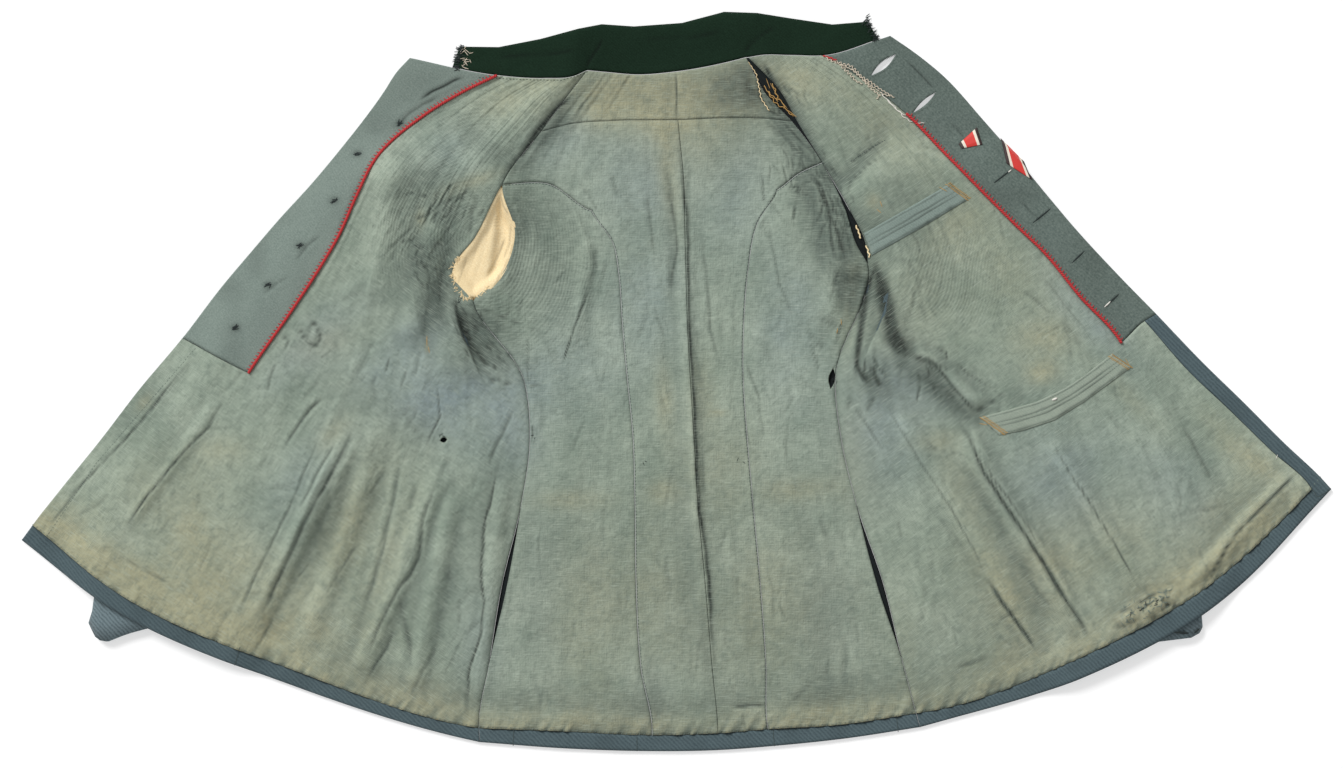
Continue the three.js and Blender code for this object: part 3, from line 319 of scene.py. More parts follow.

# %% [markdown]
# ## Creases placed one by one
#
# Loose cotton over wool never lies smooth. Soft light shows it by its creases, so each main crease is a
# row: its depth and half width in millimetres, how dark the painted shade in it is, and then x and y of each point
# of its path in plan units.
# A valley is a pressed-in line with low lips, a ridge stands up, and a step is the edge of a fold, with
# its high side given by the sign of its depth.
# A slow random wander keeps them from looking ruled.

# %% Crease tables
VALLEYS = (
    # wearer's right front, skirt
    (1.6, 1.6, 0.9, 226, 395, 221, 405, 217, 414, 211, 426, 199, 438, 176, 463, 153, 491, 136, 514, 126, 533),
    (0.7, 1.5, 0.35, 161, 494, 161, 507, 162, 523),
    (1.3, 1.5, 0.6, 198, 348, 190, 362, 177, 378, 151, 410, 126, 440, 100, 466, 74, 494, 43, 536),
    (0.8, 1.3, 0.4, 200, 353, 186, 372, 165, 397, 138, 428, 118, 446),
    (1.6, 2.2, 0.6, 327, 396, 312, 409, 300, 424, 284, 450),
    (0.9, 1.6, 0.4, 323, 434, 305, 474, 286, 516, 266, 556, 248, 595, 233, 628),
    (2.6, 4.2, 0.6, 357, 424, 345, 450, 322, 493, 305, 525, 289, 559, 277, 585, 258, 625),
    (1.2, 2.0, 0.4, 338, 440, 318, 475, 300, 510),
    (1.4, 3.0, 0.4, 401, 452, 396, 490, 386, 539, 374, 580, 362, 616),
    (1.6, 2.4, 0.5, 442, 466, 432, 497, 424, 519, 419, 557, 410, 575, 398, 590, 380, 625, 365, 662),
    (1.2, 4.0, 0.45, 399, 595, 405, 619, 411, 644, 410, 672),
    (1.0, 1.8, 0.45, 395, 629, 387, 648, 377, 663, 368, 679),
    (1.0, 2.4, 0.3, 439, 645, 425, 668, 409, 697),
    (0.8, 2.0, 0.3, 276, 615, 266, 632, 256, 650),
    (0.9, 1.2, 0.6, 437, 382, 439, 400, 441, 416, 437, 424, 431, 437, 425, 449),
    (1.0, 2.2, 0.4, 515, 405, 504, 430, 495, 450, 487, 470),
    (0.7, 2.0, 0.25, 387, 470, 375, 488, 363, 504),
    (0.6, 2.0, 0.25, 115, 553, 148, 569, 180, 591),
    (0.7, 1.4, 0.35, 361, 541, 350, 556, 340, 572, 325, 596),
    (0.6, 1.3, 0.4, 310, 563, 304, 571, 298, 578),
    (0.9, 1.8, 0.5, 277, 364, 272, 378, 268, 392),
    (0.6, 1.3, 0.45, 391, 357, 389, 364, 387, 373),
    (0.5, 1.4, 0.3, 408, 370, 405, 380, 401, 390),
    # wearer's right front, chest
    (1.8, 2.6, 0.7, 447, 268, 442, 278, 440, 288, 441, 306),
    (1.0, 2.0, 0.4, 436, 208, 452, 200, 470, 198),
    (1.0, 1.8, 0.5, 472, 206, 472, 222, 470, 238),
    (0.6, 1.6, 0.25, 418, 224, 403, 238, 384, 258),
    (0.7, 2.0, 0.35, 414, 268, 420, 280, 427, 290),
    (2.2, 2.4, 0.7, 310, 318, 318, 328, 322, 338, 316, 350),
    (1.6, 2.2, 0.5, 300, 326, 306, 338, 314, 346, 326, 346),
    (1.4, 2.0, 0.5, 284, 334, 290, 342, 286, 352),
    (0.5, 1.4, 0.25, 342, 343, 330, 352, 320, 360),
    # round the right armhole
    (2.6, 3.4, 0.9, 456, 293, 458, 312, 463, 329, 472, 347, 484, 361, 492, 367),
    (0.8, 1.2, 0.5, 462, 302, 487, 311, 514, 322, 540, 331),
    (0.8, 1.8, 0.5, 485, 318, 478, 330, 472, 342),
    (0.9, 1.8, 0.4, 500, 316, 496, 332, 486, 350),
    (0.7, 1.4, 0.3, 524, 289, 521, 305, 517, 321),
    (0.6, 1.3, 0.3, 513, 308, 508, 314, 504, 318),
    (1.4, 1.3, 1.0, 588, 290, 580, 312, 572, 336, 562, 366),
    (0.6, 0.9, 0.4, 528, 332, 528, 358, 528, 384),
    (0.4, 0.9, 0.3, 528, 385, 536, 385, 543, 385),
    (0.6, 0.9, 0.7, 532, 425, 533, 432, 532, 441),
    (1.8, 3.2, 0.8, 577, 92, 566, 101, 553, 113, 536, 133, 519, 162),
    # back
    (0.8, 1.1, 0.6, 676, 70, 677, 92, 677, 122),
    (0.7, 3.5, 0.3, 647, 190, 649, 214, 652, 236, 655, 260),
    (1.0, 3.0, 0.5, 667, 186, 672, 205, 676, 228, 677, 250, 672, 272, 670, 300),
    (0.7, 3.0, 0.35, 700, 230, 705, 262, 709, 300, 710, 330, 715, 348, 720, 367),
    (0.6, 2.6, 0.25, 611, 176, 614, 186, 618, 198),
    (0.7, 1.4, 0.4, 762, 175, 763, 190, 765, 206),
    (0.7, 1.6, 0.35, 767, 214, 772, 246, 780, 286, 788, 306, 796, 322),
    (0.8, 2.0, 0.4, 803, 324, 812, 338, 822, 348, 828, 352),
    (0.7, 1.8, 0.35, 808, 340, 814, 356, 819, 372),
    (0.7, 1.8, 0.4, 746, 362, 750, 376, 756, 390, 761, 404),
    (0.5, 1.4, 0.3, 745, 426, 749, 440, 753, 453),
    (0.9, 1.3, 0.7, 841, 321, 839, 331, 837, 342),
    (1.2, 2.0, 0.7, 806, 168, 822, 188, 828, 212, 831, 240, 836, 262),
    (1.4, 2.6, 0.8, 815, 180, 826, 205, 836, 232, 846, 262),
    (0.8, 1.8, 0.4, 832, 190, 842, 214, 848, 238, 852, 262),
    (0.5, 1.6, 0.25, 846, 270, 850, 290, 850, 316),
    (0.5, 1.6, 0.25, 838, 268, 834, 288, 828, 306),
    # the wearer's left shoulder, torn open at the neck
    (1.6, 2.6, 0.9, 764, 64, 774, 86, 780, 100, 794, 118),
    (1.2, 2.0, 0.8, 749, 64, 758, 78, 760, 98, 770, 112),
    (0.8, 1.4, 0.5, 724, 118, 745, 117, 770, 118),
    (0.9, 1.6, 0.5, 780, 120, 794, 134, 808, 150),
    # wearer's left front, chest
    (0.5, 1.2, 0.5, 849, 163, 866, 152, 884, 140),
    (0.7, 1.3, 0.5, 843, 203, 850, 182, 866, 167, 886, 154),
    (3.4, 5.0, 1.0, 876, 270, 880, 286, 885, 306, 889, 326, 892, 342, 897, 352, 907, 356),
    (2.6, 2.8, 1.0, 874, 268, 867, 288, 863, 312, 859, 336, 857, 366),
    (0.6, 1.6, 0.3, 909, 232, 917, 243, 919, 256),
    (0.5, 2.4, 0.2, 997, 214, 1001, 230, 1003, 244),
    (0.6, 2.2, 0.25, 1018, 288, 1032, 298, 1044, 310, 1056, 316),
    (0.6, 1.8, 0.3, 1024, 328, 1040, 330, 1060, 328, 1076, 334),
    (0.6, 2.0, 0.25, 1040, 276, 1054, 292, 1072, 316, 1086, 332),
    # wearer's left front, waist and skirt
    (2.0, 2.4, 0.9, 855, 361, 858, 370, 862, 378, 868, 383),
    (1.5, 2.2, 0.6, 872, 364, 873, 374, 877, 383, 881, 388),
    (1.2, 3.0, 0.4, 874, 396, 870, 404, 866, 412),
    (0.9, 1.8, 0.5, 962, 418, 975, 411, 990, 402, 1006, 390),
    (0.8, 1.6, 0.4, 951, 360, 968, 374, 984, 384, 998, 391),
    (3.4, 3.0, 1.0, 956, 418, 968, 438, 983, 473, 1009, 512, 1039, 557, 1065, 600, 1094, 645),
    (1.0, 2.0, 0.6, 972, 440, 990, 476, 1008, 500, 1028, 528, 1040, 552),
    (2.2, 2.4, 0.9, 986, 578, 1004, 605, 1020, 628, 1036, 650),
    (1.0, 1.4, 0.55, 885, 404, 901, 431, 917, 459, 948, 505, 972, 548, 986, 578),
    (0.9, 1.2, 0.6, 1045, 430, 1065, 468, 1090, 506, 1116, 549, 1143, 597),
    (0.7, 1.6, 0.35, 850, 403, 866, 425, 884, 452),
    (0.8, 2.6, 0.3, 1181, 427, 1190, 440, 1198, 454, 1208, 474, 1214, 488),
    (1.6, 2.2, 0.7, 1293, 472, 1270, 497, 1245, 522, 1226, 545, 1211, 572, 1194, 584, 1174, 597),
    (1.0, 1.8, 0.5, 1004, 646, 982, 658, 959, 668, 953, 677),
    (0.6, 1.8, 0.2, 1170, 518, 1192, 511, 1209, 508),
)
STEPS = (
    # depth is + where the cloth on the picture's left of the path is the higher
    (-2.6, 2.0, 1.0, 504, 452, 498, 474, 492, 500, 486, 519, 483, 557, 483, 587, 485, 601, 482, 634, 470, 672, 469,
     724),
    (2.6, 2.6, 1.0, 675, 118, 677, 140, 681, 181, 686, 218, 687, 250, 688, 329, 691, 370, 694, 430,
                     696, 470, 698, 510, 704, 545, 708, 580, 710, 620, 713, 660, 714, 690),
    (2.0, 2.0, 0.7, 718, 705, 742, 706, 768, 706),
    (3.0, 2.4, 1.0, 873, 266, 880, 286, 885, 306, 890, 328, 895, 344, 904, 356, 914, 360),
    (2.4, 2.0, 1.0, 1300, 466, 1281, 485, 1263, 505, 1248, 518, 1237, 528, 1226, 544, 1218, 558, 1211, 572),
    (2.0, 1.6, 0.8, 1106, 625, 1120, 612, 1131, 604, 1148, 597, 1163, 591, 1174, 594),
    (-3.0, 2.2, 0.9, 907, 354, 918, 357, 929, 361, 944, 376, 966, 402, 978, 414),
    (-1.2, 2.0, 0.3, 766, 120, 786, 138, 800, 152, 816, 163),
)
RIDGES = (
    (1.2, 3.0, 560, 190, 575, 210, 587, 244, 591, 267, 587, 290),
    (1.4, 3.0, 337, 447, 316, 489, 292, 543, 268, 593),
    (1.0, 2.4, 978, 452, 994, 482, 1018, 514, 1044, 550, 1070, 596, 1090, 628),
    (0.9, 2.0, 449, 127, 460, 150, 472, 175),
    (0.8, 1.4, 508, 196, 513, 205, 519, 215),
    (0.7, 1.4, 511, 259, 510, 272, 506, 285),
    (0.9, 2.6, 692, 180, 693, 240, 694, 300),
    (1.1, 2.6, 1282, 470, 1258, 496, 1234, 522, 1214, 548),
)
print("creases:", len(VALLEYS), "valleys,", len(STEPS), "fold edges,", len(RIDGES), "ridges")

# %% Random wander
def wander(x, y, seed):
    """Smooth random numbers from -1 to 1 over two coordinates, the same on each run."""
    cell_x, cell_y = np.floor(x), np.floor(y)
    part_x, part_y = smooth(x - cell_x), smooth(y - cell_y)

    def corner(i, j):
        number = np.sin((cell_x + i) * 127.1 + (cell_y + j) * 311.7 + seed * 74.7) * 43758.5453
        return 2 * (number - np.floor(number)) - 1

    low = corner(0, 0) * (1 - part_x) + corner(1, 0) * part_x
    high = corner(0, 1) * (1 - part_x) + corner(1, 1) * part_x
    return low * (1 - part_y) + high * part_y


# %% From the tables to heights
def crease_field(x, y, valleys, steps=(), ridges=()):
    """Height in millimetres, and painted shade from 0 to 1, that the crease tables give at plan points."""
    height, dark = np.zeros_like(x), np.zeros_like(x)
    rows = [("valley", *row) for row in valleys] + [("step", *row) for row in steps]
    rows += [("ridge", depth, half, 0, *path) for depth, half, *path in ridges]
    for number, (kind, depth, half, shade, *path) in enumerate(rows):
        path = np.reshape(path, (-1, 2)).astype(float)
        reach = 6 * half / UNIT
        near = (x > path[:, 0].min() - reach) & (x < path[:, 0].max() + reach)
        near &= (y > path[:, 1].min() - reach) & (y < path[:, 1].max() + reach)
        px, py = x[near], y[near]
        if not len(px):
            continue
        lengths = np.hypot(*np.diff(path, axis=0).T)
        best, side, travel = np.full_like(px, 1e9), np.zeros_like(px), np.zeros_like(px)
        for k, length in enumerate(lengths):
            dx, dy = (path[k + 1] - path[k]) / length
            share = np.clip((px - path[k, 0]) * dx + (py - path[k, 1]) * dy, 0, length)
            off_x, off_y = px - path[k, 0] - share * dx, py - path[k, 1] - share * dy
            off = np.hypot(off_x, off_y)
            closer = off < best
            side = np.where(closer, np.sign(off_x * dy - off_y * dx) * off, side)
            travel = np.where(closer, lengths[:k].sum() + share, travel)
            best = np.minimum(best, off)
        s = side * UNIT + 0.6 * wander(travel / 14, np.full_like(travel, number), 3)
        fade = smooth(np.minimum(travel, lengths.sum() - travel) / (0.22 * lengths.sum()) + 0.05)
        fade = fade * (0.85 + 0.3 * wander(travel / 22, np.full_like(travel, number), 5))
        reached = best * UNIT / half
        if kind == "valley":
            shape = -np.exp((0.2 - np.sqrt((s / half) ** 2 + 0.04)) / 0.6)
            shape = shape + 0.4 * np.exp(-(((np.abs(s) - 1.9 * half) / (1.1 * half)) ** 2))
            shadow = np.exp(-((s / (0.25 * half + 0.6)) ** 2)) + 0.3 * np.exp(-((s / half) ** 2))
        elif kind == "ridge":
            shape, shadow = np.exp(-((s / half) ** 2)), 0 * s
        else:
            q = -s * math.copysign(1, depth)
            shape = 1 / (1 + np.exp(-np.clip(q / (0.3 * half), -30, 30))) * np.exp(-np.maximum(q, 0) / (3.5 * half))
            shadow = np.exp(-(((q + 0.4 * half) / (0.25 * half + 0.7)) ** 2))
            shadow = shadow + 0.35 * np.exp(-(((q + 0.8 * half) / half) ** 2))
        shape = shape * (1 - smooth((reached - 4) / 2))
        height[near] += abs(depth) * shape * fade
        # Painted shade: the crease's colour is darkened where it would lie in shadow.
        dark[near] = np.maximum(dark[near], shade * shadow * np.clip(fade, 0, 1))
    return height, dark


def small_wrinkles(count, seed):
    """Short shallow creases, most of them running down the skirt, as soft cotton takes when it is worn."""
    rng = np.random.default_rng(seed)
    rows = []
    for _ in range(count):
        start = rng.uniform((60, 90), (1290, 720))
        down = start - (MIDDLE_X, -320)
        turn = math.radians(rng.normal(0, 14) if rng.random() < 0.7 else rng.uniform(-80, 80))
        c, s = math.cos(turn), math.sin(turn)
        down = np.array((down[0] * c - down[1] * s, down[0] * s + down[1] * c)) / np.hypot(*down)
        side = np.array((-down[1], down[0])) * rng.normal(0, 2.5)
        length = rng.uniform(14, 52)
        path = [start, start + 0.35 * length * down + side, start + 0.7 * length * down, start + length * down - side]
        rows.append((rng.uniform(0.25, 0.8), rng.uniform(1.4, 3.4), rng.uniform(0.0, 0.22), *np.ravel(path)))
    return rows


# Where the lining has been crushed: x, y and reach in plan units, how many creases, and the way they mostly
# lie in degrees.
CRUSHED = ((805, 175, 34, 24, 62), (835, 215, 26, 16, 74), (780, 108, 20, 12, 60), (474, 332, 22, 14, 50),
           (430, 262, 26, 12, 30), (868, 372, 16, 8, 60), (930, 376, 24, 10, 40), (500, 362, 20, 8, 20),
           (445, 200, 30, 14, -50))


def crushed_creases(places, seed):
    """Short, crisp creases with painted shade, crowded round each place."""
    rng = np.random.default_rng(seed)
    rows = []
    for cx, cy, reach, count, lie in places:
        for _ in range(count):
            middle = np.array((cx, cy)) + rng.normal(0, 0.5 * reach, 2)
            turn = math.radians(lie + rng.normal(0, 26))
            half = rng.uniform(5, 13) * np.array((math.cos(turn), math.sin(turn)))
            bend = middle + 0.3 * rng.normal() * np.array((-half[1], half[0]))
            rows.append((rng.uniform(0.5, 1.5), rng.uniform(1.0, 1.7), rng.uniform(0.2, 0.6),
                         *(middle - half), *bend, *(middle + half)))
    return rows


wrinkles = small_wrinkles(420, 17) + crushed_creases(CRUSHED, 19)
crease_height, crease_dark = crease_field(plan_x, plan_y, list(VALLEYS) + wrinkles, STEPS, RIDGES)
print("creases from %.1f to %.1f mm" % (crease_height.min(), crease_height.max()))

# %% [markdown]
# ## Loose cloth between the creases
#
# Between the named creases the lining ripples gently along the fan of the skirt, gathers in small puckers
# where it is felled to the hem and to the facings, and is crumpled at a torn corner. Distances along and
# across the net, in millimetres, give these their real spacing.

# %% Ripples, puckers and the crumpled corner
def net_distances():
    """Millimetres along each row and each column of the net, from its middle row and from the hem."""
    across = np.hypot(np.diff(place_x, axis=1), np.diff(place_y, axis=1))
    along = np.hypot(np.diff(place_x, axis=0), np.diff(place_y, axis=0))
    first_column, first_row = np.zeros((net.shape[0], 1)), np.zeros((1, net.shape[1]))
    return (np.concatenate([first_column, np.cumsum(across, 1)], 1),
            np.concatenate([first_row, np.cumsum(along, 0)], 0))


across_mm, up_mm = net_distances()
fan_mm = np.broadcast_to(across_mm[ROW["waist"]], across_mm.shape)  # the same number all along a column
hem_distance = up_mm - up_mm[ROW["hem_turning"]]

ripple = 0.75 * wander(fan_mm / 17, up_mm / 130, 11) + 0.4 * wander(fan_mm / 7, up_mm / 70, 12)
ripple += 0.8 * wander(place_x / 60, place_y / 60, 13)
ripple += 0.22 * wander(place_x / 6.5, place_y / 6.5, 14)
hem_puckers = np.exp(-np.maximum(hem_distance, 0) / 11) * wander(across_mm / 4.2, hem_distance / 30, 21)
hem_swell = np.exp(-(((hem_distance - 14) / 9) ** 2)) * (1.1 + 0.7 * wander(across_mm / 16, hem_distance / 60, 22))


def patch_field(patches, x, y):
    """Sum of soft patches at plan points. A patch is x, y, half length, half width, turn and strength."""
    total = np.zeros_like(x)
    for cx, cy, long, wide, turn, strength in patches:
        c, s = math.cos(math.radians(turn)), math.sin(math.radians(turn))
        u = ((x - cx) * c + (y - cy) * s) / long
        v = ((y - cy) * c - (x - cx) * s) / wide
        total += strength * np.exp(-(u * u + v * v))
    return total


TORN_CORNER = ((1130, 614, 17, 9, -35, 1.0), (1150, 607, 17, 9, -20, 1.0), (1166, 599, 12, 8, -20, 0.8))
torn = np.clip(patch_field(TORN_CORNER, plan_x, plan_y), 0, 1)
tatters = 3.6 * wander(place_x / 7, place_y / 5.5, 31) + 2.2 * wander(place_x / 3.2, place_y / 3.2, 32)
crumple = torn * (3.0 + tatters)
print("ripple %.1f to %.1f mm" % (ripple.min(), ripple.max()))

# %% [markdown]
# ## Stains, fading and painted shade
#
# The lining was one grey-green cotton. Sweat, rust and light have changed it: a tan neck band, tan along the hem,
# tide marks across the lower back, blue-grey unfaded places, and grime where the arms rubbed. Each is a
# short table of soft patches. The grime table also holds painted shade, and one table more is painted shadow.
# They are stored on the mesh points as numbers from 0 to 1, and the material decides what colour each means.
# This keeps the finish procedural, with no painted picture.

# %% Patch tables
# x, y, half length and half width in plan units, turn in degrees, strength
TAN_PATCHES = (
    (672, 95, 95, 26, -4, 1.0), (600, 95, 30, 30, 0, 0.5), (750, 85, 30, 30, 0, 0.4), (520, 95, 50, 22, -20, 0.45),
    (800, 80, 40, 22, 20, 0.4), (60, 538, 60, 26, 35, 0.7), (120, 570, 60, 20, 35, 0.5), (240, 640, 70, 18, 25, 0.55),
    (420, 700, 80, 20, 16, 0.5), (600, 722, 110, 16, 1, 0.4), (820, 712, 90, 16, -6, 0.45),
    (1000, 670, 80, 20, -22, 0.5), (1150, 600, 60, 18, -32, 0.5), (1240, 545, 50, 18, -45, 0.4),
    (350, 530, 75, 26, -65, 0.5), (217, 452, 30, 14, -10, 0.4), (187, 524, 22, 16, -60, 0.35),
    (390, 560, 80, 14, -68, 0.4), (336, 432, 22, 10, -50, 0.35), (145, 402, 10, 6, -50, 0.6),
    (575, 500, 38, 10, 0, 0.45), (664, 492, 16, 12, 0, 0.4), (585, 620, 90, 34, 90, 0.15),
    (650, 600, 70, 20, 90, 0.15), (720, 470, 50, 40, 90, 0.35), (800, 490, 40, 12, -4, 0.45),
    (850, 455, 20, 50, 0, 0.2), (770, 590, 60, 30, 90, 0.25), (670, 175, 50, 10, 82, 0.55),
    (664, 400, 40, 10, 88, 0.4), (702, 390, 40, 14, 88, 0.3), (850, 300, 50, 10, 95, 0.35), (718, 413, 9, 3, 0, 0.6),
    (1040, 340, 30, 20, -10, 0.5), (1040, 372, 16, 11, 0, 0.7), (960, 220, 50, 24, -40, 0.3),
    (1010, 270, 60, 30, 45, 0.25), (970, 500, 70, 18, 62, 0.35), (935, 440, 26, 10, -5, 0.3),
    (1060, 560, 40, 24, 40, 0.3), (1230, 440, 40, 16, 45, 0.4), (1262, 470, 30, 14, 45, 0.4),
    (1000, 590, 60, 16, 60, 0.25), (1130, 400, 50, 10, 45, 0.2), (905, 640, 50, 12, 85, 0.2), (873, 203, 7, 8, 0, 0.7),
    (421, 219, 5, 9, 0, 0.7), (470, 184, 34, 7, -20, 0.45), (330, 340, 40, 18, -20, 0.3), (428, 347, 2, 5, 0, 0.8),
    (890, 130, 70, 40, 35, 0.4), (1020, 590, 70, 60, 0, 0.4), (620, 610, 100, 80, 0, 0.25),
    (790, 620, 100, 80, 0, 0.25), (1120, 530, 60, 50, 0, 0.3), (170, 500, 70, 50, 0, 0.3), (300, 600, 90, 40, 20, 0.3),
    (690, 150, 60, 40, 0, 0.2), (920, 300, 60, 50, 0, 0.2), (160, 600, 60, 30, 30, 0.6), (270, 622, 60, 24, 20, 0.6),
    (215, 562, 44, 34, 0, 0.5), (1240, 522, 60, 40, -40, 0.55), (1175, 600, 60, 24, -30, 0.4),
    (690, 108, 56, 36, 0, 0.5),
)
BLUE_PATCHES = (
    (455, 395, 60, 30, -10, 0.9), (410, 350, 60, 26, -30, 0.6), (320, 340, 60, 24, -40, 0.5),
    (520, 420, 30, 60, 10, 0.5), (300, 480, 60, 26, -50, 0.3), (560, 140, 40, 24, -40, 0.4),
    (640, 170, 60, 50, 0, 0.45),
    (650, 300, 40, 70, 0, 0.4), (740, 190, 30, 60, 10, 0.4), (790, 330, 36, 80, 0, 0.4), (580, 360, 40, 60, 0, 0.35),
    (880, 430, 44, 50, -20, 0.6), (905, 385, 50, 26, 20, 0.5), (460, 440, 40, 30, 0, 0.3),
    (1060, 480, 60, 60, 40, 0.5), (1180, 500, 60, 40, 40, 0.45),
    (1090, 320, 60, 20, 45, 0.5), (450, 150, 40, 30, -40, 0.3), (480, 640, 26, 80, 0, 0.35), (540, 600, 26, 90, 0, 0.2),
    (650, 690, 20, 40, 0, 0.25), (830, 620, 30, 60, 0, 0.2),
)
# Grime where the arms rubbed, together with painted shade beside folds, along the lining's hem edge and in hollows.
GRIME_AND_SHADE_PATCHES = (
    (412, 182, 44, 22, -30, 0.36), (425, 262, 46, 60, 0, 0.45), (432, 300, 22, 44, 0, 0.4),
    (478, 335, 40, 22, 55, 0.85), (500, 370, 36, 26, 0, 0.4), (545, 250, 40, 70, 0, 0.3), (520, 200, 20, 40, -20, 0.4),
    (566, 116, 44, 12, -52, 0.65), (548, 138, 40, 12, -52, 0.45), (818, 215, 60, 18, 68, 0.75),
    (845, 270, 50, 16, 80, 0.7), (775, 95, 34, 16, 60, 0.85), (742, 90, 26, 14, 90, 0.4), (800, 140, 26, 12, 50, 0.6),
    (888, 318, 46, 14, 75, 1.0), (900, 250, 50, 36, 20, 0.28), (920, 290, 44, 30, 20, 0.16),
    (934, 382, 40, 13, 45, 0.9), (872, 376, 24, 16, 60, 0.6), (860, 335, 30, 6, 98, 0.5), (870, 230, 30, 20, 60, 0.35),
    (310, 540, 70, 16, -62, 0.2), (392, 600, 90, 20, -66, 0.25), (350, 640, 60, 20, -66, 0.2),
    (1010, 540, 90, 12, 58, 0.4), (1040, 640, 40, 12, 58, 0.4), (445, 585, 70, 16, -75, 0.3),
    (495, 480, 50, 14, -78, 0.3), (675, 250, 90, 8, 88, 0.35), (700, 600, 100, 8, 84, 0.35),
    (365, 395, 60, 22, 25, 0.3), (1000, 400, 40, 12, -15, 0.3), (722, 92, 34, 22, 0, 0.6), (600, 610, 110, 90, 0, 0.2),
    (765, 625, 100, 90, 0, 0.24), (690, 550, 60, 110, 0, 0.16), (1050, 500, 90, 80, 0, 0.2),
    (560, 290, 50, 60, 0, 0.16), (350, 500, 70, 50, -60, 0.16), (812, 165, 40, 14, 58, 0.6),
    (832, 200, 40, 16, 68, 0.6), (790, 118, 24, 16, 45, 0.5), (880, 150, 60, 50, 40, 0.24), (640, 92, 60, 24, 0, 0.3),
    (740, 80, 40, 22, 0, 0.35), (905, 200, 50, 40, 20, 0.2), (845, 300, 20, 60, 0, 0.25), (520, 560, 60, 60, 0, 0.1),
    (400, 690, 80, 20, 14, 0.3), (600, 705, 140, 26, 0, 0.34), (850, 695, 130, 28, -8, 0.36),
    (905, 390, 60, 30, 0, 0.36), (868, 480, 26, 70, -10, 0.3), (815, 560, 40, 140, 0, 0.24),
    (960, 625, 120, 50, -15, 0.3), (735, 130, 50, 40, 0, 0.3), (452, 200, 40, 70, 10, 0.45),
    (812, 212, 26, 50, -14, 0.35), (150, 402, 50, 14, -50, 0.4), (580, 500, 40, 60, 0, 0.18),
    (694, 420, 14, 70, 0, 0.3), (450, 300, 26, 50, 0, 0.25), (750, 460, 40, 60, 0, 0.16), (510, 702, 50, 20, 8, 0.3),
    (690, 716, 80, 18, 0, 0.3), (990, 686, 60, 20, -15, 0.35), (925, 702, 50, 14, -12, 0.2),
    (640, 735, 110, 8, 0, 0.4),
)
# Painted shadow, where cloth folds away into shade.
DEEP_PATCHES = (
    (884, 300, 34, 7, 73, 1.0), (893, 338, 17, 8, 40, 0.9), (861, 330, 34, 3, 98, 0.5), (889, 312, 26, 4, 74, 0.6),
    (866, 292, 22, 2, 108, 0.8), (860, 332, 28, 2, 97, 0.8), (863, 374, 12, 3, 60, 0.6), (925, 361, 18, 4, 20, 0.5),
    (464, 322, 24, 6, 68, 0.55), (479, 350, 20, 9, 50, 0.4), (443, 290, 24, 6, 92, 0.35), (776, 96, 30, 8, 62, 0.5),
    (750, 88, 24, 9, 72, 0.5), (556, 118, 26, 5, -52, 0.5), (530, 148, 30, 4, -55, 0.4), (838, 235, 36, 6, 76, 0.3),
    (934, 378, 32, 7, 45, 0.4), (872, 380, 16, 8, 60, 0.35), (1000, 500, 60, 4, 57, 0.2), (322, 500, 70, 5, 115, 0.2),
    (585, 300, 50, 4, 105, 0.15), (671, 230, 60, 4, 86, 0.2), (700, 520, 120, 3, 88, 0.15),
    (418, 250, 40, 12, 80, 0.2), (412, 185, 26, 10, -20, 0.2),
)
deep = patch_field(DEEP_PATCHES, plan_x, plan_y) * (1 + 0.5 * wander(place_x / 8, place_y / 8, 45))
tan = patch_field(TAN_PATCHES, plan_x, plan_y)
# Along the hem the tan is a stain, and its rise on the pucker crests is painted highlight. On the crests of the torn
# corner, the tan is painted highlight.
tan += (0.5 + 0.4 * np.clip(hem_puckers, -1, 1)) * np.exp(-np.maximum(hem_distance, 0) / 22)
tan += 0.6 * torn * np.clip(tatters, 0, 1)
blue = patch_field(BLUE_PATCHES, plan_x, plan_y) + torn
grime_and_shade = patch_field(GRIME_AND_SHADE_PATCHES, plan_x, plan_y)
speckle = wander(place_x / 26, place_y / 26, 41) + 0.5 * wander(place_x / 9, place_y / 9, 42)
tan, blue, grime_and_shade = (np.clip(field * (1 + 0.3 * speckle), 0, 1) for field in (tan, blue, grime_and_shade))
shield = patch_field(((540, 262, 52, 74, 0, 1.0), (425, 225, 52, 90, -10, 0.9), (842, 262, 26, 70, -8, 0.8),
                      (950, 280, 70, 60, 10, 0.7), (470, 130, 50, 34, -30, 0.5)), plan_x, plan_y)
shield = np.clip(shield, 0, 1)
ARMHOLES = ((484, 250), (872, 236))  # plan units
rib = np.minimum(*[np.hypot(plan_x - ax, 0.8 * (plan_y - ay)) for ax, ay in ARMHOLES])
rib = rib * UNIT + 5 * wander(place_x / 40, place_y / 40, 43)
print("stains cover the lining by up to", round(float(tan.max()), 2))

# %% [markdown]
# ## Node trees, one small helper
#
# A material is a tree of nodes. The helper adds one node, sets its options and joins or sets its inputs, so each
# finish below reads as a list. Colours are written in sRGB, as a painter would pick them, and turned into
# the linear numbers that the renderer works in by one function.

# %% Materials: helpers
def colour(code):
    """An sRGB hex code as linear red, green, blue and alpha."""
    parts = [int(code[k : k + 2], 16) / 255 for k in (1, 3, 5)]
    return (*[p / 12.92 if p <= 0.04045 else ((p + 0.055) / 1.055) ** 2.4 for p in parts], 1)


def add_node(tree, kind, feeds=None, **settings):
    """One node with its settings. feeds gives inputs by name or number: a value, or a socket to join."""
    node = tree.nodes.new("ShaderNode" + kind)
    for key, value in settings.items():
        setattr(node, key, value)
    for key, value in (feeds or {}).items():
        if isinstance(value, bpy.types.NodeSocket):
            tree.links.new(value, node.inputs[key])
        else:
            node.inputs[key].default_value = value
    return node


def new_material(name):
    material = bpy.data.materials.new(name)
    material.use_nodes = True
    tree = material.node_tree
    return material, tree, tree.nodes["Principled BSDF"]
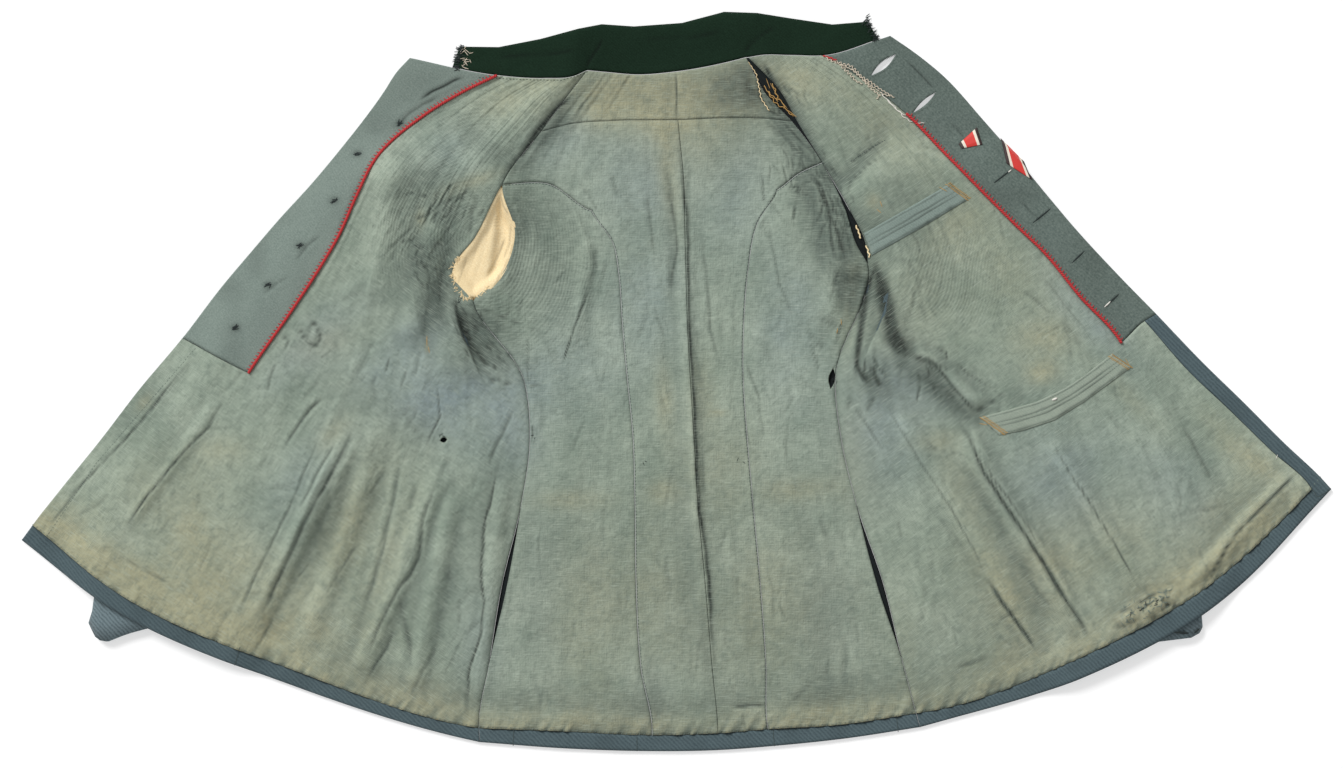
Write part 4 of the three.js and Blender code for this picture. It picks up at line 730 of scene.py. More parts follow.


# %% [markdown]
# Real lining cotton has some 25 threads a centimetre, finer than a picture of the whole tunic can show, so the
# weave is drawn four times as coarse. It gives the eye a dry, matt cloth. Stains and painted shade come from the
# numbers stored on the mesh, and the creases are darkened with painted shade.

# %% Faded cotton lining
def plain_weave(tree, period):
    """Height of a plain weave: two crossed sets of threads, a period in metres apart, on the cloth's grain."""
    grain = add_node(tree, "UVMap", uv_map="grain").outputs[0]
    bands = []
    for direction in ("X", "Y"):
        feeds = {"Vector": grain, "Scale": 0.314 / period, "Distortion": 1.2, "Detail": 1.0}
        bands.append(add_node(tree, "TexWave", feeds, wave_type="BANDS", bands_direction=direction).outputs["Fac"])
    return add_node(tree, "Math", {0: bands[0], 1: bands[1]}, operation="MULTIPLY").outputs[0]


# Stored number, its colour, and how far it hides the cloth at most. Blue is unfaded cloth. Tan is a stain, with painted
# highlight on some crests. The grime layer is grime and painted shade. Dark is painted shade.
LINING_STAINS_AND_SHADE = (("blue", "#87979B", 0.85), ("tan", "#A4A182", 0.9), ("grime_and_shade", "#49544E", 0.8),
                 ("dark", "#141917", 0.94))
RIB_PITCH = 3.2  # millimetres between the canvas ribs that press through near the armholes


def cotton_lining():
    """Plain-woven cotton, dyed grey-green, then faded, stained and rubbed: the matt inside of the tunic."""
    material, tree, shader = new_material("cotton_lining_plain_woven")
    place = add_node(tree, "TexCoord").outputs["Object"]
    grain = add_node(tree, "UVMap", uv_map="grain").outputs[0]
    noise = {}
    for name, scale, detail, rough in (("cloud", 14, 4, 0.55), ("fleck", 150, 4, 0.7), ("crinkle", 95, 6, 0.62)):
        feeds = {"Vector": place, "Scale": scale, "Detail": detail, "Roughness": rough}
        noise[name] = add_node(tree, "TexNoise", feeds).outputs["Fac"]
    for name, stretch in (("warp", (1100, 70, 1)), ("weft", (70, 1100, 1))):
        turned = add_node(tree, "Mapping", {"Vector": grain, "Scale": stretch}).outputs[0]
        noise[name] = add_node(tree, "TexNoise", {"Vector": turned, "Scale": 1.0, "Detail": 2.0}).outputs["Fac"]
    ribs = add_node(tree, "Attribute", attribute_name="rib").outputs["Fac"]
    ribs = add_node(tree, "Math", {0: ribs, 1: 2 * math.pi / RIB_PITCH}, operation="MULTIPLY").outputs[0]
    ribs = add_node(tree, "Math", {0: ribs}, operation="SINE").outputs[0]
    shield_share = add_node(tree, "Attribute", attribute_name="shield").outputs["Fac"]
    ribs = add_node(tree, "Math", {0: ribs, 1: shield_share}, operation="MULTIPLY").outputs[0]
    ribs = add_node(tree, "Math", {0: ribs, 1: noise["fleck"]}, operation="MULTIPLY").outputs[0]
    threads = plain_weave(tree, 0.0016)
    ramp = add_node(tree, "ValToRGB", {"Fac": noise["cloud"]})
    for element, at, code in zip(ramp.color_ramp.elements, (0.36, 0.66), ("#808E80", "#9DA999")):
        element.position, element.color = at, colour(code)
    shade = ramp.outputs[0]
    layers = [(add_node(tree, "Attribute", attribute_name=name).outputs["Fac"], code, 0.0, 1.0, most)
              for name, code, most in LINING_STAINS_AND_SHADE]
    layers += [(noise["fleck"], "#5D6B62", 0.45, 0.75, 0.42), (noise["warp"], "#5F6C64", 0.5, 0.72, 0.34),
               (noise["weft"], "#B2BDAE", 0.5, 0.72, 0.34), (ribs, "#4F5C55", 0.0, 0.6, 0.2),
               (threads, "#B9C3B4", 0.0, 1.0, 0.12), (noise["crinkle"], "#5C6A62", 0.5, 0.72, 0.25)]
    for share, code, low, high, most in layers:
        feeds = {"Value": share, "From Min": low, "From Max": high, "To Max": most}
        part = add_node(tree, "MapRange", feeds).outputs[0]
        shade = add_node(tree, "Mix", {0: part, 6: shade, 7: colour(code)}, data_type="RGBA").outputs[2]
    normal = None
    for height, strength, distance in ((threads, 0.25, 0.0004),
                                       (noise["warp"], 0.35, 0.0006), (noise["weft"], 0.35, 0.0006),
                                       (ribs, 0.5, 0.0006), (noise["crinkle"], 0.6, 0.0042)):
        feeds = {"Height": height, "Strength": strength, "Distance": distance}
        if normal is not None:
            feeds["Normal"] = normal
        normal = add_node(tree, "Bump", feeds).outputs[0]
    tree.links.new(normal, shader.inputs["Normal"])
    tree.links.new(shade, shader.inputs["Base Color"])
    shader.inputs["Roughness"].default_value = 0.88
    shader.inputs["Specular IOR Level"].default_value = 0.2
    shader.inputs["Sheen Weight"].default_value = 0.08
    return material


# %% [markdown]
# Milled wool is shrunk until its weave closes under a short nap. The nap scatters light at grazing angles, which
# is what sheen adds, and leaves small light and dark fibres all over. Cord and thread are twisted from
# the same kind of fibre, so they get the same treatment at a finer scale.

# %% Wool, thread and ribbon
def fibre_cloth(name, main, light, fibre, cloud_scale=22.0, nap_scale=620.0, nap_share=0.45, height=0.0008, sheen=0.12,
                twill=0.0026, twill_share=0.12):
    """Cloth or thread of short fibres: a slow change of shade, a fibre mottle, a soft sheen, and the painted shade
    stored on the mesh.
    """
    material, tree, shader = new_material(name)
    place = add_node(tree, "TexCoord").outputs["Object"]
    cloud = add_node(tree, "TexNoise", {"Vector": place, "Scale": cloud_scale, "Detail": 4.0}).outputs["Fac"]
    nap = add_node(tree, "TexNoise", {"Vector": place, "Scale": nap_scale, "Detail": 4.0,
                                      "Roughness": 0.75}).outputs["Fac"]
    shade = add_node(tree, "Mix", {0: cloud, 6: colour(main), 7: colour(light)}, data_type="RGBA").outputs[2]
    part = add_node(tree, "MapRange", {"Value": nap, "From Min": 0.38, "From Max": 0.68,
                                       "To Max": 1.5 * nap_share}).outputs[0]
    shade = add_node(tree, "Mix", {0: part, 6: shade, 7: colour(fibre)}, data_type="RGBA").outputs[2]
    feeds = {"Vector": place, "Scale": 0.444 / twill, "Distortion": 2.5, "Detail": 2.0}
    rise = add_node(tree, "TexWave", feeds, wave_type="BANDS", bands_direction="DIAGONAL").outputs["Fac"]
    part = add_node(tree, "Math", {0: rise, 1: twill_share}, operation="MULTIPLY").outputs[0]
    shade = add_node(tree, "Mix", {0: part, 6: shade, 7: colour(fibre)}, data_type="RGBA").outputs[2]
    # Painted shade: the stored dark number darkens gaps, hollows, creases and mouths towards near black.
    dark = add_node(tree, "Attribute", attribute_name="dark").outputs["Fac"]
    shade = add_node(tree, "Mix", {0: dark, 6: shade, 7: colour("#0B0E0E")}, data_type="RGBA").outputs[2]
    tree.links.new(shade, shader.inputs["Base Color"])
    twist = add_node(tree, "Bump", {"Height": rise, "Strength": 0.4, "Distance": 0.5 * height}).outputs[0]
    bump = add_node(tree, "Bump", {"Height": nap, "Strength": 0.5, "Distance": height, "Normal": twist}).outputs[0]
    shader.inputs["Specular IOR Level"].default_value = 0.15
    tree.links.new(bump, shader.inputs["Normal"])
    shader.inputs["Roughness"].default_value = 0.95
    shader.inputs["Sheen Weight"].default_value = sheen
    return material


# Where each stripe of the ribbon starts, as a share of its width.
RIBBON_STRIPES = ((0.0, "#1C1C1C"), (0.14, "#EDE6D5"), (0.26, "#D7332B"), (0.76, "#EDE6D5"), (0.88, "#1C1C1C"))


def striped_ribbon():
    """Woven silk ribbon with a red middle, white lines and black edges, soft with wear."""
    material, tree, shader = new_material("silk_ribbon_striped")
    ramp = add_node(tree, "ValToRGB", {"Fac": add_node(tree, "Attribute", attribute_name="across").outputs["Fac"]})
    ramp.color_ramp.interpolation = "CONSTANT"
    while len(ramp.color_ramp.elements) < len(RIBBON_STRIPES):
        ramp.color_ramp.elements.new(0.5)
    for element, (at, code) in zip(ramp.color_ramp.elements, RIBBON_STRIPES):
        element.position, element.color = at, colour(code)
    place = add_node(tree, "TexCoord").outputs["Object"]
    rib = add_node(tree, "TexNoise", {"Vector": place, "Scale": 700.0, "Detail": 2.0}).outputs["Fac"]
    part = add_node(tree, "Math", {0: rib, 1: 0.3}, operation="MULTIPLY").outputs[0]
    shade = add_node(tree, "Mix", {0: part, 6: ramp.outputs[0], 7: colour("#6B2B27")}, data_type="RGBA").outputs[2]
    tree.links.new(shade, shader.inputs["Base Color"])
    shader.inputs["Roughness"].default_value = 0.6
    return material


MATERIALS = {
    "lining": cotton_lining(),
    "wool": fibre_cloth("milled_wool_field_grey", "#374449", "#445358", "#627377", nap_share=0.3, twill=0.0034,
                        twill_share=0.4),
    "facing_right": fibre_cloth("milled_wool_facing_right", "#65736D", "#76847C", "#8E9A92"),
    "facing_left": fibre_cloth("milled_wool_facing_left", "#495650", "#586560", "#78847D", nap_scale=430.0,
                               nap_share=0.45),
    "sleeve": fibre_cloth("milled_wool_sleeve", "#4B5A5E", "#5A696C", "#84949A", nap_share=0.3, twill=0.0034,
                          twill_share=0.5),
    "collar": fibre_cloth("milled_wool_bottle_green", "#0E1F13", "#13271A", "#1D3325", sheen=0.02),
    "welt": fibre_cloth("cotton_twill_welt", "#6C7D76", "#7D8C85", "#94A199", nap_share=0.35, twill=0.0022,
                        twill_share=0.2),
    "welt_worn": fibre_cloth("cotton_twill_welt_faded", "#7F8C80", "#8F9B8E", "#A6AF9F", nap_share=0.35, twill=0.0022,
                             twill_share=0.2),
    "cream": fibre_cloth("cotton_twill_sleeve_lining", "#F2DCAE", "#F8E7C0", "#E0C493"),
    "red": fibre_cloth("wool_cord_red", "#A42A32", "#DB4A46", "#7C1F28", 900.0, 1500.0, 0.3, 0.0003),
    "orange": fibre_cloth("silk_thread_orange", "#B3884A", "#D2B074", "#8C6A34", 900.0, 1500.0, 0.3, 0.0003),
    "tan": fibre_cloth("linen_thread_tan", "#CDBFA8", "#EAE2D2", "#A08F78", 900.0, 1500.0, 0.3, 0.0003),
    "dark": fibre_cloth("cotton_thread_dark", "#1D2424", "#3A4443", "#0F1414", 900.0, 1500.0, 0.3, 0.0003),
    "seam": fibre_cloth("cotton_thread_slate", "#3A4748", "#56625F", "#2A3334", 900.0, 1500.0, 0.3, 0.0003),
    "grey_thread": fibre_cloth("cotton_thread_grey", "#66746E", "#8B988D", "#4E5A56", 900.0, 1500.0, 0.3, 0.0003),
    "white_thread": fibre_cloth("linen_thread_white", "#D9D6CC", "#F4F2EC", "#B8B2A4", 900.0, 1500.0, 0.3, 0.0003),
    "ribbon": striped_ribbon(),
}
print("materials:", len(MATERIALS))

# %% [markdown]
# ## Cloth from the net
#
# A piece of cloth is a set of the net's cells, given an upper and a lower face and closed round its rim.
# Faces of the upper side run anticlockwise, so they point up. Points that fall together, as at the ends of a slit,
# are welded first, so each piece is one closed skin.

# %% Closed cloth mesh
RIM_INSET = 0.2  # each piece stops this short of its seam line, which shows the seam as a fine dark line


def block(first, last, low="hem", high=None):
    """The net's cells between two seam lines, and from one section up to another or to the neck."""
    picked = np.zeros((net.shape[0] - 1, net.shape[1] - 1), bool)
    picked[ROW[low] : (ROW[high] if high else None), COLUMN[first] : COLUMN[last]] = True
    return picked


def every(marks, last, step):
    """Index of every so many lines, with all the seams among them."""
    return np.array(sorted(set(range(0, last + 1, step)) | set(marks) | {last}))


def new_mesh(name, points, faces, material, attributes=None, grain=None):
    """A mesh object from points in millimetres, with numbers stored on its points."""
    mesh = bpy.data.meshes.new(name)
    mesh.from_pydata((np.asarray(points) * MM).tolist(), [], faces)
    for key, values in (attributes or {}).items():
        mesh.attributes.new(key, "FLOAT", "POINT").data.foreach_set("value", np.asarray(values, np.float32))
    if grain is not None:
        corners = np.empty(len(mesh.loops), np.int32)
        mesh.loops.foreach_get("vertex_index", corners)
        mesh.uv_layers.new(name="grain").data.foreach_set("uv",
                                                          (np.asarray(grain)[corners] * MM).ravel().astype(np.float32))
    mesh.polygons.foreach_set("use_smooth", [True] * len(mesh.polygons))
    mesh.materials.append(material)
    mesh.update()
    made = bpy.data.objects.new(name, mesh)
    bpy.context.collection.objects.link(made)
    return made


def rim_of(quads, count):
    """Edges that have a face on one side only."""
    edges = np.concatenate([quads[:, [k, (k + 1) % 4]] for k in range(4)])
    edges = edges[edges[:, 0] != edges[:, 1]]
    return edges[~np.isin(edges[:, 0] * count + edges[:, 1], edges[:, 1] * count + edges[:, 0])]


def closed_grid(high, low):
    """Points and faces of a closed sheet between two grids of points."""
    count = high.shape[0] * high.shape[1]
    ids = np.arange(count).reshape(high.shape[:2])
    quads = np.stack([ids[:-1, :-1], ids[1:, :-1], ids[1:, 1:], ids[:-1, 1:]], -1).reshape(-1, 4)
    if np.cross(high[1, 0, :2] - high[0, 0, :2], high[0, 1, :2] - high[0, 0, :2]) < 0:
        quads = quads[:, ::-1]
    faces = quads.tolist() + (quads[:, ::-1] + count).tolist()
    faces += [[a + count, b + count, b, a] for a, b in rim_of(quads, count).tolist()]
    return np.concatenate([high.reshape(-1, 3), low.reshape(-1, 3)]), faces


def cloth(name, picked, top, low, material, fields, turn=0, rows=None, columns=None):
    """Closed cloth over the picked cells, storing fields on it, with its grain turned by an angle in degrees."""
    rows = np.arange(net.shape[0]) if rows is None else rows
    columns = np.arange(net.shape[1]) if columns is None else columns
    grid = np.ix_(rows, columns)
    chosen = picked[np.ix_(rows[:-1], columns[:-1])]
    ids = np.arange(len(rows) * len(columns)).reshape(len(rows), len(columns))
    quads = np.stack([ids[:-1, :-1], ids[:-1, 1:], ids[1:, 1:], ids[1:, :-1]], -1)[chosen]
    x, y = place_x[grid].ravel(), place_y[grid].ravel()
    used = np.unique(quads)
    keys = np.round(np.stack([x[used], y[used]], 1), 2)
    _, first, inverse = np.unique(keys, axis=0, return_index=True, return_inverse=True)
    weld = np.zeros(len(x), int)
    weld[used] = inverse.ravel()
    source = used[first]
    quads = weld[quads]
    x, y = x[source], y[source]
    high, under = top[grid].ravel()[source], low[grid].ravel()[source]
    count = len(source)
    rim = rim_of(quads, count)
    centre = np.stack([x[quads].mean(1), y[quads].mean(1)], 1)
    pull, seen = np.zeros((count, 2)), np.zeros(count)
    for k in range(4):
        np.add.at(pull, quads[:, k], centre)
        np.add.at(seen, quads[:, k], 1)
    on_rim = np.unique(rim)
    inward = pull[on_rim] / seen[on_rim, None] - np.stack([x[on_rim], y[on_rim]], 1)
    inward *= RIM_INSET / np.maximum(np.hypot(*inward.T), 0.3)[:, None]
    x, y = x.copy(), y.copy()
    x[on_rim] += inward[:, 0]
    y[on_rim] += inward[:, 1]
    points = np.concatenate([np.stack([x, y, high], 1), np.stack([x, y, under], 1)])
    faces = []
    for quad in quads.tolist():
        ring = [corner for k, corner in enumerate(quad) if corner != quad[k - 1]]
        if len(set(ring)) < 3:
            continue
        faces.append(ring)
        faces.append([corner + count for corner in ring[::-1]])
    faces += [[a + count, b + count, b, a] for a, b in rim.tolist()]
    c, s = math.cos(math.radians(turn)), math.sin(math.radians(turn))
    grain = np.stack([points[:, 0] * c + points[:, 1] * s, points[:, 1] * c - points[:, 0] * s], 1)
    stored = {key: np.tile(field[grid].ravel()[source], 2) for key, field in fields.items()}
    return new_mesh(name, points, faces, material, stored, grain)


# %% [markdown]
# Where two pieces of lining are sewn, the seam is drawn down and the cloth rounds into it. The distance from each
# point to the nearest seam line gives that dip.

# %% Seam dips and layer heights
SEAM_DIP = 0.9  # millimetres
DIP_WIDTH = 1.7  # millimetres from a seam to where its dip has mostly risen again


def neighbours(values, axis):
    """A grid of numbers moved one step back, left in place and moved one step on along an axis."""
    first, last = np.take(values, [0], axis), np.take(values, [-1], axis)
    wide = np.concatenate([first, values, last], axis)
    return [np.take(wide, range(k, k + values.shape[axis]), axis) for k in range(3)]


def spread(values, times):
    """Running mean over neighbours, which takes sharp steps out of a row or grid of numbers."""
    for _ in range(times):
        for axis in range(values.ndim):
            values = sum(neighbours(values, axis)) / 3
    return values


def seam_dip():
    """Depth in millimetres by which seams draw the lining down."""
    dip = np.zeros(net.shape[:2])
    width = np.hypot(np.gradient(place_x, axis=1), np.gradient(place_y, axis=1))
    run = np.cumsum(width, axis=1)
    sewn = (("left_facing", "neck"), ("left_side", "neck"), ("left_back", "armhole_head"),
            ("left_princess", "armhole_head"), ("right_princess", "armhole_head"), ("right_back", "armhole_head"),
            ("right_side", "neck"), ("right_facing", "neck"))
    for line, upper in sewn:
        off = np.abs(run - run[:, [COLUMN[line]]])
        here = SEAM_DIP * np.exp(-((off / DIP_WIDTH) ** 2))
        here[ROW[upper] + 1 :] = 0
        here[: ROW["waist"] if "facing" in line else 0] = 0
        dip = np.maximum(dip, here)
    for section, first, last, depth in (("armhole_head", "left_back", "left_princess", SEAM_DIP),
                                        ("armhole_head", "right_princess", "right_back", SEAM_DIP),
                                        ("shoulder", "left_back", "right_back", 0.3)):
        off = np.abs(up_mm - up_mm[ROW[section]])
        here = np.where((np.arange(net.shape[1]) >= COLUMN[first]) & (np.arange(net.shape[1]) <= COLUMN[last]),
                        depth * np.exp(-((off / DIP_WIDTH) ** 2)), 0)
        dip = np.maximum(dip, here)
    return dip


PUFF = 1.6  # millimetres that loose lining stands over the plain model's face, so that creases have room
sewn_down = seam_dip()
shell_top = outer_low + SHELL
relief = crease_height + ripple + 1.3 * hem_puckers + hem_swell + crumple - sewn_down
lining_top = np.maximum(shell_top + LAYER_GAP + folds + LINING + PUFF + relief, shell_top + 1.3)
lining_low = lining_top - 0.8
hollow = spread(lining_top, 16) - lining_top  # millimetres, above 0 in hollows; painted shade darkens the hollows and lightens the crests
# Painted shade: this layer grows in the lining's hollows and fades on its crests.
grime_and_shade = np.clip(grime_and_shade + np.clip(0.34 * hollow, -0.3, 0.5), 0, 1)
print("hollows reach %.1f mm" % hollow.max())
wool_relief = 0.25 * wander(place_x / 30, place_y / 30, 51) + 0.08 * wander(place_x / 5, place_y / 5, 52)
# Creases of the facings: depth, half width, painted shade, then the path.
FACING_CREASES = (
    (1.8, 2.2, 0.95, 420, 101, 433, 92, 443, 87, 455, 81, 466, 77),
    (1.2, 2.6, 0.45, 398, 126, 410, 114, 424, 104, 440, 97),
    (1.0, 3.2, 0.30, 350, 218, 360, 190, 371, 170, 392, 146),
    (0.8, 2.6, 0.25, 338, 236, 350, 212, 356, 196),
    (0.8, 2.4, 0.25, 296, 262, 308, 246, 322, 236),
    (0.7, 2.4, 0.20, 262, 296, 280, 282, 292, 276),
    (0.6, 1.2, 0.40, 906, 61, 916, 70, 926, 80, 935, 91),
    (0.7, 2.2, 0.20, 948, 122, 958, 130, 966, 142),
    (0.7, 2.2, 0.20, 1018, 200, 1030, 214, 1042, 222),
)
facing_height, facing_dark = crease_field(plan_x, plan_y, FACING_CREASES)
turning_top = shell_top + LAYER_GAP + TURNING + wool_relief + 0.7 * facing_height
turning_low = shell_top + LAYER_GAP
# Stored on the lining. Dark is painted shade: crease shadows, seam dips, fold shadows, the troughs of the torn corner
# and the gaps between hem puckers.
STAINS_AND_SHADE = {"shield": shield, "rib": rib, "tan": tan, "blue": blue, "grime_and_shade": grime_and_shade,
          "dark": np.clip(crease_dark + 0.12 * sewn_down + deep + 0.5 * torn * np.clip(-tatters - 0.6, 0, 2)
                          + 0.4 * np.clip(-hem_puckers, 0, 1.2), 0, 1)}
print("lining tops out at %.1f mm" % lining_top.max())

# %% Outer cloth
coarse_rows = every(row_marks, net.shape[0] - 1, 3)
coarse_columns = every(column_marks, net.shape[1] - 1, 4)
on_column, on_row = np.arange(net.shape[1])[None, :], np.arange(net.shape[0])[:, None]
in_gap = ((on_column >= COLUMN["left_side"]) & (on_column <= COLUMN["left_back"])
          | (on_column >= COLUMN["right_back"]) & (on_column <= COLUMN["right_side"])) & (on_row >= 0)
BUTTON_PLACES = ((400, 124), (358, 154), (335, 201), (301, 246), (269, 285), (237, 328))  # plan units
pulled = sum(np.exp(-(((plan_x - bx) / 5) ** 2 + ((plan_y - by) / 4) ** 2)) for bx, by in BUTTON_PLACES)
facing_shade = 0.16 * np.clip(wander(place_x / 24, place_y / 24, 55), 0, 1) + 0.5 * pulled
facing_shade += 0.16 * np.exp(-(((plan_x - 432) / 50) ** 2 + ((plan_y - 86) / 22) ** 2))
# Painted shade on the outer cloth: near black in the gaps between the fronts and the back, and under the two holes in
# the lining.
seen_through = np.exp(-(((plan_x - 833) / 12) ** 2 + ((plan_y - 378) / 20) ** 2) ** 2)
seen_through += np.exp(-(((plan_x - 444) / 12) ** 2 + ((plan_y - 440) / 12) ** 2) ** 2)
SHELL_FIELDS = {"dark": np.clip(np.where(in_gap, 0.92, 0.0) + seen_through, 0, 0.97)}
# On the facings, dark adds the painted shade of their creases to facing_shade.
TURNING_FIELDS = {"dark": np.clip(facing_shade + facing_dark, 0, 1)}
SHELLS = {
    "shell_front_right": block("left_edge", "left_side"),
    "shell_front_left": block("right_side", "right_edge") | block("right_back", "right_side", "armhole_head"),
    "shell_side_right": block("left_back", "left_princess", "hem", "armhole_head")
                        | block("left_side", "left_back", "low_skirt", "high_skirt"),
    "shell_side_left": block("right_princess", "right_back", "hem", "armhole_head")
                       | block("right_back", "right_side", "low_skirt", "high_skirt")
                       | block("right_back", "right_side", "armhole_foot", "armhole_head"),
    "shell_back": block("left_princess", "right_princess") | block("left_back", "right_back", "armhole_head"),
}
cloths = {}
for name, picked in SHELLS.items():
    cloths[name] = (cloth("cloth_" + name, picked, shell_top, outer_low, MATERIALS["wool"], SHELL_FIELDS, 0,
                          coarse_rows, coarse_columns),
                    picked, "wool")

# %% Facings and hem turnings
TURNINGS = {
    "hem_front_right": (block("left_edge", "left_side", "hem", "hem_turning"), "wool", "wool"),
    "hem_back": (block("left_back", "right_back", "hem", "hem_turning"), "wool", "wool"),
    "hem_front_left": (block("right_side", "right_edge", "hem", "hem_turning")
                       | block("right_strip", "right_edge", "hem_turning", "waist"), "wool", "wool"),
    "facing_right": (block("left_edge", "left_facing", "waist"), "facing_right", "facing_wool"),
    "facing_left": (block("right_facing", "right_edge", "waist"), "facing_left", "facing_wool"),
}
for name, (picked, finish, slot) in TURNINGS.items():
    cloths[name] = (cloth("cloth_" + name, picked, turning_top, turning_low, MATERIALS[finish], TURNING_FIELDS),
                    picked, slot)

# %% Lining
LININGS = {
    "lining_front_right": (block("left_facing", "left_side", "hem_turning")
                           | block("left_edge", "left_facing", "hem_turning", "waist"), -35),
    "lining_front_left": (block("right_side", "right_facing", "hem_turning")
                          | block("right_facing", "right_strip", "hem_turning", "waist"), 35),
    "lining_side_right": (block("left_back", "left_princess", "hem_turning", "armhole_head"), 0),
    "lining_side_left": (block("right_princess", "right_back", "hem_turning", "armhole_head"), 0),
    "lining_back_right": (block("left_princess", "centre", "hem_turning", "shoulder")
                          | block("left_back", "left_princess", "armhole_head", "shoulder"), 0),
    "lining_back_left": (block("centre", "right_princess", "hem_turning", "shoulder")
                         | block("right_princess", "right_back", "armhole_head", "shoulder"), 0),
    "lining_yoke": (block("left_back", "right_back", "shoulder"), 0),
}
for name, (picked, turn) in LININGS.items():
    cloths[name] = (cloth("cloth_" + name, picked, lining_top, lining_low, MATERIALS["lining"], STAINS_AND_SHADE, turn),
                    picked, "lining_cotton")
print("cloth pieces:", len(cloths))

# %% [markdown]
# ## Gaps that go right through
#
# Two buttonholes stand open, the right front lining has a small hole, and the left side seam of the lining has
# parted. Each is a leaf shape cut with an upright blade.

# %% Cut the gaps
def upright_blade(outline):
    """A tall closed prism over an outline in millimetres."""
    count = len(outline)
    points = [(px, py, z) for z in (-60, 60) for px, py in outline]
    faces = [list(range(count))[::-1], list(range(count, 2 * count))]
    faces += [[k, (k + 1) % count, (k + 1) % count + count, k + count] for k in range(count)]
    return new_mesh("blade", points, faces, MATERIALS["dark"])


def leaf(x0, y0, x1, y1, gap, sides=8):
    """Outline in millimetres of a leaf between two plan points, anticlockwise."""
    (ax, bx), (ay, by) = to_mm([x0, x1], [y0, y1])
    length = math.hypot(bx - ax, by - ay)
    across = (-(by - ay) / length, (bx - ax) / length)
    outline = []
    for turn in (-1, 1):
        for k in range(sides):
            share = k / sides if turn < 0 else 1 - k / sides
            out = turn * 0.5 * gap * math.sin(math.pi * share)
            outline.append((ax + share * (bx - ax) + across[0] * out, ay + share * (by - ay) + across[1] * out))
    return outline


def cut(target, outline):
    blade = upright_blade(outline)
    bpy.ops.object.select_all(action="DESELECT")
    bpy.context.view_layer.objects.active = target
    target.select_set(True)
    modifier = target.modifiers.new("gap", "BOOLEAN")
    modifier.operation, modifier.solver, modifier.object = "DIFFERENCE", "EXACT", blade
    bpy.ops.object.modifier_apply(modifier=modifier.name)
    bpy.data.objects.remove(blade)


OPEN_BUTTONHOLES = ((871, 76, 896, 54, 7.4), (913, 113, 936, 92, 4.6))
for hole in OPEN_BUTTONHOLES:
    cut(cloths["shell_front_left"][0], leaf(*hole))
    cut(cloths["facing_left"][0], leaf(*hole))
cut(cloths["lining_front_right"][0], leaf(440.5, 440.5, 448, 439, 5.4))
cut(cloths["lining_side_left"][0], leaf(833, 368, 830.5, 389, 7))
print("gaps cut")

# %% [markdown]
# ## Sleeves and collar
#
# The sleeves are flattened tubes, and only a corner of each cuff shows below the hem. The collar is a stiff strip,
# cloth on both faces of canvas, raised where the shoulders fold.

# %% Sleeves
SLEEVE_WALL = 3.0


# How a cuff departs from a straight end: side to side from -1 to 1, then out and along in plan units.
CUFF_RIGHT = ((-1, 0, 0), (0.2, 0, 2), (0.55, 5, 9), (0.78, 8, 16), (0.88, 11, 14), (1.0, 11, -3))
CUFF_LEFT = ((-1, 2, -5), (-0.95, 2, 1), (-0.85, 0, 5), (-0.3, 0, 6), (0.2, 0, 0), (1, 0, 0))


def sleeve_tube(name, sleeve, bulge, cuff):
    """A flattened tube, open at the armhole and at the cuff."""
    table = np.array(sleeve, float)
    steps = [(k, s / 4) for k in range(len(table) - 1) for s in range(4)] + [(len(table) - 2, 1.0)]
    line = np.array([along_curve(table, k, s) for k, s in steps])
    lean = np.gradient(line[:, :2], axis=0)
    lean /= np.hypot(*lean.T)[:, None]
    sides = 48
    angle = 2 * np.pi * np.arange(sides) / sides
    c = np.sign(np.cos(angle)) * np.abs(np.cos(angle)) ** 0.72
    s = np.sign(np.sin(angle)) * np.abs(np.sin(angle)) ** 0.72
    rise = np.clip(1.2 * s, -1, 1)
    rings = []
    for wall in (0, SLEEVE_WALL):
        for index, (cx, cy, half, high) in enumerate(line):
            tx, ty = lean[index]
            follow = np.where((index == 0) & (s < 0), bulge * (1 - c * c), 0)
            share = max(0, (index - len(line) + 5) / 4) ** 2
            end = np.array(cuff, float)
            follow = follow - share * np.interp(c, end[:, 0], end[:, 2])
            out = c * (half - wall / UNIT) + share * np.sign(c) * np.interp(c, end[:, 0], end[:, 1])
            px, py = to_mm(cx - ty * out - follow * tx, cy + tx * out - follow * ty)
            rings.append(np.stack([px, py, high / 2 + rise * (high / 2 - wall)], 1))
    count, rows = sides, len(line)
    inner = rows * count
    faces = []
    for k in range(count):
        following = (k + 1) % count
        for r in range(rows - 1):
            a, b = r * count, (r + 1) * count
            faces.append([a + k, b + k, b + following, a + following])
            faces.append([inner + a + following, inner + b + following, inner + b + k, inner + a + k])
        end = (rows - 1) * count
        faces.append([k, following, inner + following, inner + k])
        faces.append([inner + end + k, inner + end + following, end + following, end + k])
    points = np.concatenate(rings)
    # Painted shade: the open mouth of the left sleeve at the armhole is darkened as a hollow in shadow.
    mouth_x, mouth_y = to_mm(862, 246)
    dark = 0.93 * np.exp(-((((points[:, 0] - mouth_x) / 24) ** 2 + ((points[:, 1] - mouth_y) / 40) ** 2) ** 2))
    return new_mesh(name, points, faces, MATERIALS["sleeve"], {"dark": dark})


sleeve_right = sleeve_tube("cloth_sleeve_right", RIGHT_SLEEVE, 21, CUFF_RIGHT)
sleeve_left = sleeve_tube("cloth_sleeve_left", LEFT_SLEEVE, 3, CUFF_LEFT)

